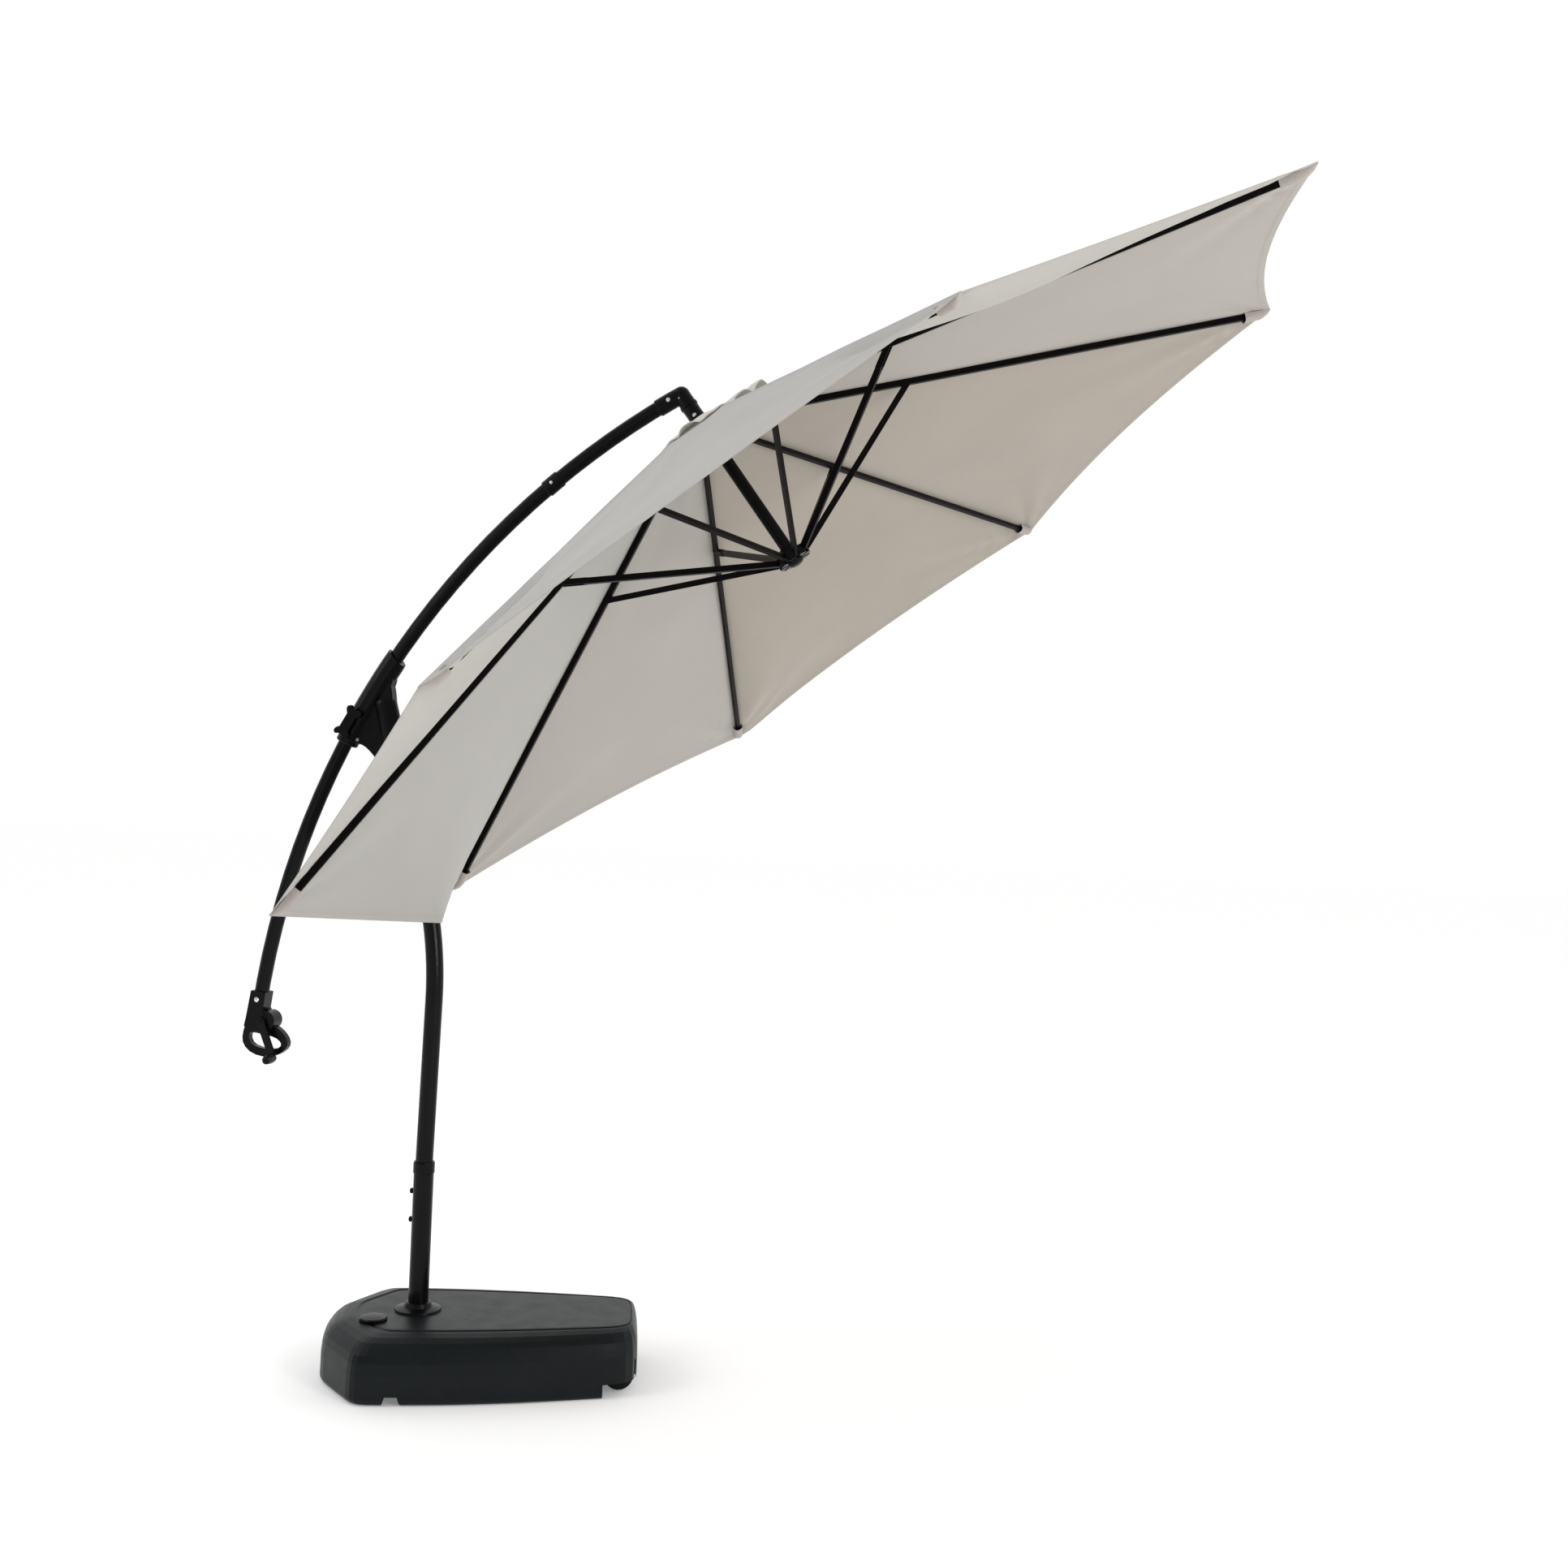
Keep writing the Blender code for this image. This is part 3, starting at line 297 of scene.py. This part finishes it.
CLOTH = build_fabric(FAB)
CAPM = build_fabric(Mat("cap_polyester", (0.5, 0.5, 0.47), 0.82, spec=0.25), tint=(1.04, 1.02, 0.98))
for _n in CAPM.node_tree.nodes:
    if _n.type == "BSDF_PRINCIPLED":                     # painted light: the cap glows with a constant warm emission that stands in for sky light shining through the thin cloth
        _n.inputs["Emission Color"].default_value = (0.95, 0.90, 0.84, 1)
        _n.inputs["Emission Strength"].default_value = 0.17
POCK = build_fabric(Mat("pocket_polyester", (0.5, 0.45, 0.42), 0.82, spec=0.25), tint=(0.94, 0.87, 0.86))

NF, NT = 46, 15
HEM = {0: 0.046, 45: 0.050, 90: 0.034, 135: 0.032, 180: 0.0, -135: 0.026, -90: 0.024, -45: 0.036}
SAG = {0: 0.010, 45: 0.009, 90: 0.008, 135: 0.007, 180: 0.004, -135: 0.016, -90: 0.010, -45: 0.032}
CHORD = 2 * R_TIP * math.sin(D(22.5))
CONTACT = np.array((0.0165, 0.0, 1.082))


def norm_az(a):
    a = (a + 180.0) % 360.0 - 180.0
    return 180.0 if abs(a + 180.0) < 1e-6 else a


def rib_line(az, rr):
    a = D(az)
    u = nE1 * math.cos(a) + nE2 * math.sin(a)
    return nHUB + u * rr + nAX * (-(rr - R0) * math.tan(ALPHA))


def flat_point(mid, t, f):
    hem = HEM[int(mid)]
    rr = 0.050 + (R_TIP - 0.050) * f
    rr = rr * (1 - hem / 1.27 * (1 - t * t) * f ** 0.5)
    a, b = rib_line(mid - 22.5, rr), rib_line(mid + 22.5, rr)
    return a + (b - a) * (t + 1) / 2


def low_hem(t):
    """The low panel's hem: pulled tight from both tips round the mast."""
    tip = rib_line(180 + 22.5 * (1 if t > 0 else -1), R_TIP)
    s = math.sqrt(t * t + 0.0009) - 0.03 * (1 - abs(t)) * 0.0
    s = (s - 0.03) / (math.sqrt(1.0009) - 0.03)
    p = CONTACT + (tip - CONTACT) * max(s, 0.0)
    return p


TT = np.linspace(-1, 1, 401)
HV = np.array([low_hem(t) - flat_point(180.0, t, 1.0) for t in TT])
NSER = 25
COEF = []
for n in range(1, NSER + 1):
    s = np.sin(n * math.pi * (TT + 1) / 2)
    COEF.append(np.trapezoid(HV * s[:, None], TT, axis=0) if hasattr(np, "trapezoid") else np.trapz(HV * s[:, None], TT, axis=0))
COEF = np.array(COEF)


def low_push(t, f):
    rr = 0.050 + (R_TIP - 0.050) * f
    width = 2 * rr * math.sin(D(22.5))
    d = (R_TIP - rr) * math.cos(D(22.5)) / math.cos(ALPHA)
    out = np.zeros(3)
    for n in range(1, NSER + 1):
        out += COEF[n - 1] * math.sin(n * math.pi * (t + 1) / 2) * math.exp(-n * math.pi * d / (0.62 * CHORD + 0.38 * width))
    return out * min(1.0, f * 1.6) ** 1.5


def panel_normal(mid):
    a = D(mid)
    u = nE1 * math.cos(a) + nE2 * math.sin(a)
    al = math.atan(math.tan(ALPHA) / math.cos(D(22.5)))
    return u * math.sin(al) + nAX * math.cos(al)


def smooth(x, a, b):
    x = min(1.0, max(0.0, (x - a) / (b - a)))
    return x * x * (3 - 2 * x)


def relief(mid, t, f):
    """Height along the outward normal: sag, puckers from the corners, and the loose folds."""
    n = int(mid)
    h = -SAG[n] * (1 - t * t) * math.sin(math.pi * min(1, f) ** 1.1) * (smooth(f, 0.31, 0.80) if n == -45 else 1.0)
    rr = 0.050 + (R_TIP - 0.050) * f
    half = rr * math.sin(D(22.5))
    along = (1 - f) * 1.43
    for side in (-1, 1):
        y = (1 - side * t) * half                       # distance from that side's rib
        rho = math.hypot(along, y) + 1e-6
        th = math.atan2(y, along)
        seed = (n * 0.7 + side * 1.9)
        amp = 0.0034 * (rho / 0.10) * math.exp(1 - rho / 0.10)
        win = smooth(th, 0.05, 0.45) * (1 - smooth(th, 0.95, 1.35))
        h += amp * win * math.sin(9.0 * th + seed)
        amp2 = 0.0022 * (rho / 0.30) * math.exp(1 - rho / 0.30)
        h += amp2 * win * math.sin(5.0 * th + seed * 1.7)
    if n == 90:                                          # loose fold beside the rib at azimuth 112.5
        y = (1 - t) * half
        y0 = 0.030 + 0.085 * smooth(f, 0.35, 0.75) * (1 - smooth(f, 0.80, 1.02) * 0.75)
        g = (y / y0) * math.exp(1 - y / y0)
        h -= 0.030 * g * smooth(f, 0.40, 0.72) * (1 - smooth(f, 0.86, 1.02) * 0.8)
    if n == -90:
        for tc_, wd, am, f0_, f1_ in ((-0.42, 0.13, 0.0052, 0.10, 0.80), (0.16, 0.16, 0.0030, 0.25, 0.70), (0.60, 0.11, 0.0048, 0.15, 0.75), (-0.80, 0.07, 0.0030, 0.35, 0.85)):
            c_ = tc_ * (0.80 + 0.35 * f)                 # long soft creases that fan out from the crown
            h += am * math.exp(-((t - c_) / wd) ** 2) * smooth(f, f0_, f0_ + 0.25) * (1 - smooth(f, f1_, 1.0))
        for side in (-1, 1):
            y = max(0.0, (1 - side * t) * half - 0.0062)
            g = (y / 0.020) * math.exp(1 - y / 0.020)
            h -= 0.0145 * g * smooth(f, 0.58, 0.76) * (1 - smooth(f, 0.955, 1.0) * 0.75)
    if n == 135:
        y = (1 + t) * half
        g = (y / 0.05) * math.exp(1 - y / 0.05)
        h -= 0.008 * g * smooth(f, 0.3, 0.6) * (1 - smooth(f, 0.85, 1.0))
    return h


def cloth_point(mid, t, f):
    p = flat_point(mid, t, f)
    if int(mid) == 180:
        p = p + low_push(t, f)
    return p + panel_normal(mid) * relief(mid, t, f)


# painted shade, per panel: how much warm darkening each panel's inner face (first table) and outer face (second table)
# gets, set panel by panel to stand in for lit and shaded panels
UNDER_SHADE = {0: 0.72, 45: 1.0, 90: 1.12, 135: 0.42, 180: 0.12, -135: 0.40, -90: 0.5, -45: 0.5}
OUTER_SHADE = {0: 0.2, 45: 0.1, 90: 0.1, 135: 0.1, 180: 0.1, -135: 0.12, -90: 0.0, -45: 0.40}
SEAM_Y = (0.0, 0.0047, 0.0058)
HEM_D = (0.0, 0.0012, 0.0172, 0.0186)


def gore(k):
    az = AZ[k - 1]
    frow = [1 - d / 1.46 for d in HEM_D]
    f_in = frow[-1]
    fr = list(np.linspace(0.0, f_in, NF)[:-1]) + frow[::-1]
    cols = []
    for side in (-1, 1):
        vs = [("y", y) for y in SEAM_Y] + [("v", v) for v in np.linspace(0, 1, NT + 1)[1:]]
        if side < 0:
            cols += [(side, *c) for c in reversed(vs)]
        else:
            cols += [(side, *c) for c in vs[1:]]
    nr, nc = len(fr), len(cols)
    P = np.zeros((nr, nc, 3)); UV = np.zeros((nr, nc, 2)); RD = np.zeros((nr, nc)); HD = np.zeros((nr, nc)); MI = np.zeros((nr, nc)); MO = np.zeros((nr, nc)); N = np.zeros((nr, nc, 3))
    up_ = np.zeros((nr, nc)); dn_ = np.zeros((nr, nc))
    e = 1e-3
    for i, f in enumerate(fr):
        rr = 0.050 + (R_TIP - 0.050) * f
        half = rr * math.sin(D(22.5))
        for j, (side, kind, val) in enumerate(cols):
            ymin = SEAM_Y[-1]
            if kind == "y":
                y = val
            else:
                y = ymin + (half - ymin) * val
            v = y / half
            mid = norm_az(az + side * 22.5)
            t = -side * (1 - v)
            P[i, j] = cloth_point(mid, t, f)
            # normal from differences inside the same panel
            def q(tt, ff):
                return cloth_point(mid, max(-1, min(1, tt)), max(0, min(1.0, ff)))
            dt = q(t + e, f) - q(t - e, f)
            df = q(t, f + e) - q(t, f - e)
            nn = np.cross(df, dt)
            nn /= np.linalg.norm(nn) + 1e-12
            if nn @ nAX < 0:
                nn = -nn
            if y < 1e-9:
                a = D(az)
                u = nE1 * math.cos(a) + nE2 * math.sin(a)
                nn = u * math.sin(ALPHA) + nAX * math.cos(ALPHA)
            N[i, j] = nn
            UV[i, j] = (side * y, rr / math.cos(ALPHA))
            RD[i, j] = y
            MI[i, j] = UNDER_SHADE[int(mid)] if y > 1e-9 else 0.5 * (UNDER_SHADE[int(norm_az(az - 22.5))] + UNDER_SHADE[int(norm_az(az + 22.5))])
            MO[i, j] = OUTER_SHADE[int(mid)] if y > 1e-9 else 0.5 * (OUTER_SHADE[int(norm_az(az - 22.5))] + OUTER_SHADE[int(norm_az(az + 22.5))])
            HD[i, j] = (1 - f) * 1.46
            up_[i, j] = 0.00045 + (0.0009 if y <= 0.0048 else 0.0)
            dn_[i, j] = 0.00045 + (0.0010 if HD[i, j] <= 0.0175 else 0.0)
    # blend the ridge normals softly
    verts = np.concatenate([(P + N * up_[..., None]).reshape(-1, 3), (P - N * dn_[..., None]).reshape(-1, 3)])
    vn = np.concatenate([N.reshape(-1, 3), -N.reshape(-1, 3)])
    faces = []
    idx = lambda L, i, j: L * nr * nc + i * nc + j
    for i in range(nr - 1):
        for j in range(nc - 1):
            faces.append((idx(0, i, j), idx(0, i + 1, j), idx(0, i + 1, j + 1), idx(0, i, j + 1)))
            faces.append((idx(1, i, j), idx(1, i, j + 1), idx(1, i + 1, j + 1), idx(1, i + 1, j)))
    for i in range(nr - 1):
        faces.append((idx(0, i, 0), idx(1, i, 0), idx(1, i + 1, 0), idx(0, i + 1, 0)))
        faces.append((idx(0, i, nc - 1), idx(0, i + 1, nc - 1), idx(1, i + 1, nc - 1), idx(1, i, nc - 1)))
    for j in range(nc - 1):
        faces.append((idx(0, 0, j), idx(0, 0, j + 1), idx(1, 0, j + 1), idx(1, 0, j)))
        faces.append((idx(0, nr - 1, j), idx(1, nr - 1, j), idx(1, nr - 1, j + 1), idx(0, nr - 1, j + 1)))
    me = bpy.data.meshes.new("gore_%d" % k)
    me.from_pydata(verts.tolist(), [], faces)
    me.validate()
    # area of the outer face, before the thickness
    A = P[:-1, :-1]; B = P[1:, :-1]; C = P[1:, 1:]; E = P[:-1, 1:]
    area = float((np.linalg.norm(np.cross(B - A, C - A), axis=-1).sum() + np.linalg.norm(np.cross(C - A, E - A), axis=-1).sum()) / 2)
    uvl = me.uv_layers.new(name="cloth")
    flat_uv = np.concatenate([UV.reshape(-1, 2), UV.reshape(-1, 2)])
    li = np.zeros(len(me.loops), np.int32)
    me.loops.foreach_get("vertex_index", li)
    uvl.data.foreach_set("uv", flat_uv[li].astype(np.float32).ravel())
    for nm, arr in (("rib_d", RD), ("hem_d", HD)):
        at = me.attributes.new(nm, "FLOAT", "POINT")
        at.data.foreach_set("value", np.concatenate([arr.ravel(), arr.ravel()]).astype(np.float32))
    # painted shade: the outer and inner faces take their per-panel amount of warm darkening from the two tables; rib
    # seams take the mean of both panels
    at = me.attributes.new("painted_shade", "FLOAT", "POINT")
    at.data.foreach_set("value", np.concatenate([MO.ravel(), MI.ravel()]).astype(np.float32))
    for p in me.polygons:
        p.use_smooth = True
    nface = (nr - 1) * (nc - 1) * 2
    for p in me.polygons[nface:]:
        p.use_smooth = False
    # rim faces keep their own normals
    pi = np.zeros(len(me.loops), np.int64)
    for p in me.polygons:
        for l in p.loop_indices:
            pi[l] = p.index
    ln = vn[li].copy()
    for p in me.polygons[nface:]:
        for l in p.loop_indices:
            ln[l] = p.normal
    me.normals_split_custom_set(ln.tolist())
    ob = bpy.data.objects.new("gore_%d" % k, me)
    coll.objects.link(ob)
    ob.data.materials.append(CLOTH)
    return ob, area


gores = []
for k in range(1, 9):
    g, area = gore(k)
    gores.append((g, area))
    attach(g, "rib_%d" % k)
    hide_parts("cover_%d" % k)
    a = D(AZ[k - 1])
    w = -E1 * math.sin(a) + E2 * math.cos(a)
    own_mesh(g)
print("gore areas", [round(a, 4) for _, a in gores])



# ------------------------------------------------------------------ vent cap, corner pockets, drop cord
def shell(name, top, bottom, mat, closed_u=False, painted_shade=None):
    """Closed thin solid from two matching grids of points [row][column]."""
    nr, nc = top.shape[:2]
    verts = np.concatenate([top.reshape(-1, 3), bottom.reshape(-1, 3)])
    faces = []
    idx = lambda L, i, j: L * nr * nc + i * nc + (j % nc)
    cmax = nc if closed_u else nc - 1
    for i in range(nr - 1):
        for j in range(cmax):
            faces.append((idx(0, i, j), idx(0, i + 1, j), idx(0, i + 1, j + 1), idx(0, i, j + 1)))
            faces.append((idx(1, i, j), idx(1, i, j + 1), idx(1, i + 1, j + 1), idx(1, i + 1, j)))
    for j in range(cmax):
        faces.append((idx(0, 0, j), idx(0, 0, j + 1), idx(1, 0, j + 1), idx(1, 0, j)))
        faces.append((idx(0, nr - 1, j), idx(1, nr - 1, j), idx(1, nr - 1, j + 1), idx(0, nr - 1, j + 1)))
    if not closed_u:
        for i in range(nr - 1):
            faces.append((idx(0, i, 0), idx(1, i, 0), idx(1, i + 1, 0), idx(0, i + 1, 0)))
            faces.append((idx(0, i, nc - 1), idx(0, i + 1, nc - 1), idx(1, i + 1, nc - 1), idx(1, i, nc - 1)))
    me = bpy.data.meshes.new(name)
    me.from_pydata(verts.tolist(), [], faces)
    bm = bmesh.new(); bm.from_mesh(me)
    bmesh.ops.recalc_face_normals(bm, faces=bm.faces[:])
    bm.to_mesh(me); bm.free()
    for p in me.polygons:
        p.use_smooth = True
    me.set_sharp_from_angle(angle=D(60))
    uvl = me.uv_layers.new(name="cloth")
    li = np.zeros(len(me.loops), np.int32)
    me.loops.foreach_get("vertex_index", li)
    gi, gj = np.meshgrid(np.arange(nr), np.arange(nc), indexing="ij")
    g1 = np.stack([gj / nc * 0.06, gi / nr * 0.08], -1).reshape(-1, 2)
    uvl.data.foreach_set("uv", np.concatenate([g1, g1])[li].astype(np.float32).ravel())
    for nm, val in (("rib_d", 1.0), ("hem_d", 1.0)):
        at = me.attributes.new(nm, "FLOAT", "POINT")
        at.data.foreach_set("value", np.full(2 * nr * nc, val, np.float32))
    # painted shade: the bottom face gets the given amount of warm darkening (0.6 unless set), the top face none
    at = me.attributes.new("painted_shade", "FLOAT", "POINT")
    at.data.foreach_set("value", np.concatenate([np.zeros(nr * nc), np.full(nr * nc, 0.6 if painted_shade is None else painted_shade)]).astype(np.float32))
    A = top[:-1]; B = top[1:]
    if closed_u:
        A1, B1 = np.roll(A, -1, 1), np.roll(B, -1, 1)
    else:
        A, A1, B, B1 = A[:, :-1], A[:, 1:], B[:, :-1], B[:, 1:]
    area = float((np.linalg.norm(np.cross(B - A, B1 - A), axis=-1).sum() + np.linalg.norm(np.cross(B1 - A, A1 - A), axis=-1).sum()) / 2)
    ob = bpy.data.objects.new(name, me)
    coll.objects.link(ob)
    me.materials.append(mat)
    return ob, area


TIES = (-106, -87, -56, -36, -8, 18, 45, 72, 96, 120, 146, 172, 202, 228, 254)     # where the hem is held down, degrees
LIFT = (0.014, 0.0015, 0.0155, 0.025, 0.018, 0.013, 0.010, 0.011, 0.012, 0.012, 0.010, 0.008, 0.005, 0.003)


def cap_height(r, deg):
    """Height of the cap's cloth over the hub plane: lies on the cover, with its hem lifted between the ties."""
    mid = round(deg / 45.0) * 45.0
    de = deg - mid
    hc = -(r * math.cos(D(de)) / math.cos(D(22.5)) - R0) * math.tan(ALPHA)
    d = deg if deg >= TIES[0] else deg + 360.0
    n = max(i for i in range(len(LIFT)) if TIES[i] <= d)
    t = (d - TIES[n]) / (TIES[n + 1] - TIES[n])
    lift = LIFT[n] * max(0.0, math.sin(math.pi * t)) ** 0.75 * smooth(r, 0.085, 0.182) ** 1.2
    ripple = 0.0007 * math.sin(D(deg) * 31) * smooth(r, 0.12, 0.17)
    return (1 - smooth(r, 0.036, 0.062)) * 0.0042 + smooth(r, 0.036, 0.062) * (hc + 0.0033 + lift + ripple)


NR_, NC_ = 28, 180
top = np.zeros((NR_, NC_, 3)); bot = np.zeros((NR_, NC_, 3))
for i in range(NR_):
    for j in range(NC_):
        deg = -180 + 360.0 * j / NC_
        dd = deg if deg >= TIES[0] else deg + 360.0
        nn = max(q for q in range(len(LIFT)) if TIES[q] <= dd)
        tt = (dd - TIES[nn]) / (TIES[nn + 1] - TIES[nn])
        edge = 0.1725 + 0.0085 * math.sin(math.pi * tt) ** 0.8 + 0.010 * math.cos(D(deg + 25)) * (1 if nn != 0 else 0.2) - (0.016 * math.sin(math.pi * tt) if nn == 0 else 0.0)
        r = 0.0172 + (edge - 0.0172) * (i / (NR_ - 1))
        h = cap_height(r, deg)
        bead = 0.0008 if i >= NR_ - 2 else 0.0
        u = nE1 * math.cos(D(deg)) + nE2 * math.sin(D(deg))
        top[i, j] = nHUB + u * r + nAX * (h + bead)
        bot[i, j] = nHUB + u * r + nAX * (h - 0.0009 - bead)
cap, cap_area = shell("vent_cap_cloth", top, bot, CAPM, closed_u=True, painted_shade=0.0)
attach(cap, "arm")
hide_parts("vent_cap")
print("cap area", cap_area)

for k in range(1, 9):
    a = D(AZ[k - 1])
    u = nE1 * math.cos(a) + nE2 * math.sin(a)
    w = -nE1 * math.sin(a) + nE2 * math.cos(a)
    dr = u * math.cos(ALPHA) - nAX * math.sin(ALPHA)
    nr_ = u * math.sin(ALPHA) + nAX * math.cos(ALPHA)
    tip = rib_line(AZ[k - 1], R_TIP)
    Ls = [0.0790, 0.0775, 0.070, 0.062, 0.052, 0.043, 0.036, 0.030, 0.024, 0.018, 0.012, 0.007, 0.003, 0.0006]
    HW = np.interp(Ls[::-1], [0.0006, 0.003, 0.012, 0.024, 0.043, 0.070, 0.079], [0.0034, 0.0052, 0.0078, 0.0105, 0.0125, 0.0136, 0.0148])[::-1]
    DP = np.interp(Ls[::-1], [0.0006, 0.003, 0.012, 0.024, 0.036, 0.060, 0.079], [0.0008, 0.0030, 0.0105, 0.0170, 0.0204, 0.0210, 0.0222])[::-1]
    NQ = 21
    top = np.zeros((len(Ls), NQ, 3)); bot = np.zeros((len(Ls), NQ, 3))
    for i, L in enumerate(Ls):
        wob = 0.0006 * math.sin(L * 300 + k)
        for j in range(NQ):
            q = -1 + 2 * j / (NQ - 1)
            for arr, th in ((top, 0.0), (bot, 0.0009)):
                hw, dp = HW[i] - th, DP[i] - th
                y = hw * math.sin(q * math.pi / 2)
                n = -0.0017 - 0.134 * abs(y) - dp * max(0.0, math.cos(q * math.pi / 2)) ** 0.62 + wob * (1 - abs(q))
                arr[i, j] = tip - dr * L + w * y + nr_ * n
    # painted shade on the pocket's inner face
    pk, pa_ = shell("corner_pocket_%d" % k, top, bot, POCK, painted_shade=0.3)
    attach(pk, "rib_%d" % k)
print("pocket area", pa_)

Pd = [Vector(nHUB + nAX * z) for z in np.linspace(0.062, -0.4105, 40)]
bm = bmesh.new()
ring = []
for p in Pd:
    c = []
    for i in range(10):
        t = 2 * math.pi * i / 10
        c.append(bm.verts.new(p + E2 * (0.0017 * math.cos(t)) + E1 * (0.0017 * math.sin(t))))
    ring.append(c)
for a_, b_ in zip(ring, ring[1:]):
    for i in range(10):
        bm.faces.new((a_[i], a_[(i + 1) % 10], b_[(i + 1) % 10], b_[i]))
bm.faces.new(ring[0]); bm.faces.new(ring[-1])
bmesh.ops.recalc_face_normals(bm, faces=bm.faces[:])
me = bpy.data.meshes.new("drop_cord")
bm.to_mesh(me); bm.free()
for p in me.polygons:
    p.use_smooth = True
drop = bpy.data.objects.new("drop_cord", me)
coll.objects.link(drop)
me.materials.append(CORDM)
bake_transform(drop)
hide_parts("lift_cord_drop")

# ------------------------------------------------------------------ floor, light
bm = bmesh.new()
bmesh.ops.create_grid(bm, x_segments=1, y_segments=1, size=30)
me = bpy.data.meshes.new("floor")
bm.to_mesh(me); bm.free()
floor = bpy.data.objects.new("floor", me)
coll.objects.link(floor)
fm = Mat("floor_pale", (0.96, 0.96, 0.96), 0.9, spec=0.1)
fm.b.inputs["Emission Color"].default_value = (1, 1, 1, 1)
fm.b.inputs["Emission Strength"].default_value = 0.19
fm.rough(fm.maprange(fm.noise(3.0), 0.3, 0.7, 0.8, 0.9))
floor.data.materials.append(fm.m)

world = bpy.data.worlds.new("studio")
scn.world = world
world.use_nodes = True
wt = world.node_tree
bgn = wt.nodes["Background"]
bgn.inputs["Strength"].default_value = 1.0
tc = wt.nodes.new("ShaderNodeTexCoord")
sx = wt.nodes.new("ShaderNodeSeparateXYZ")
wt.links.new(tc.outputs["Generated"], sx.inputs[0])
rp = wt.nodes.new("ShaderNodeValToRGB")
wt.links.new(sx.outputs[1], rp.inputs["Fac"])
mr_ = wt.nodes.new("ShaderNodeMapRange")
wt.links.new(sx.outputs[1], mr_.inputs["Value"])
for kk, xx in (("From Min", -1.0), ("From Max", 0.30), ("To Min", 0.0), ("To Max", 1.0)):
    mr_.inputs[kk].default_value = xx
wt.links.new(mr_.outputs["Result"], rp.inputs["Fac"])
rp.color_ramp.elements[0].color = (0.42, 0.415, 0.41, 1)
rp.color_ramp.elements[1].position = 0.97
rp.color_ramp.elements[1].color = (1.0, 1.0, 1.0, 1)
wt.links.new(rp.outputs["Color"], bgn.inputs["Color"])


def area_light(name, at, to, size, power, color=(1, 1, 1)):
    ld = bpy.data.lights.new(name, "AREA")
    ld.shape = "RECTANGLE"
    ld.size, ld.size_y = size
    ld.energy = power
    ld.color = color
    ob = bpy.data.objects.new(name, ld)
    coll.objects.link(ob)
    at, to = Vector(at), Vector(to)
    ob.matrix_world = Matrix.Translation(at) @ (to - at).to_track_quat("-Z", "Y").to_matrix().to_4x4()
    return ob


area_light("key", (4.6, -3.2, 2.6), (0.2, 0, 1.3), (0.5, 3.6), 72, (1.0, 0.99, 0.97))
area_light("rim", (5.4, 0.5, 1.9), (0.0, 0, 1.5), (0.10, 3.6), 8)
area_light("fill", (-3.8, -3.2, 4.2), (0.2, 0, 1.5), (2.5, 2.5), 70, (0.98, 0.99, 1.0))
scn.view_settings.view_transform = "Standard"
scn.view_settings.look = "None"
scn.view_settings.exposure = 0.0
scn.view_settings.gamma = 1.0
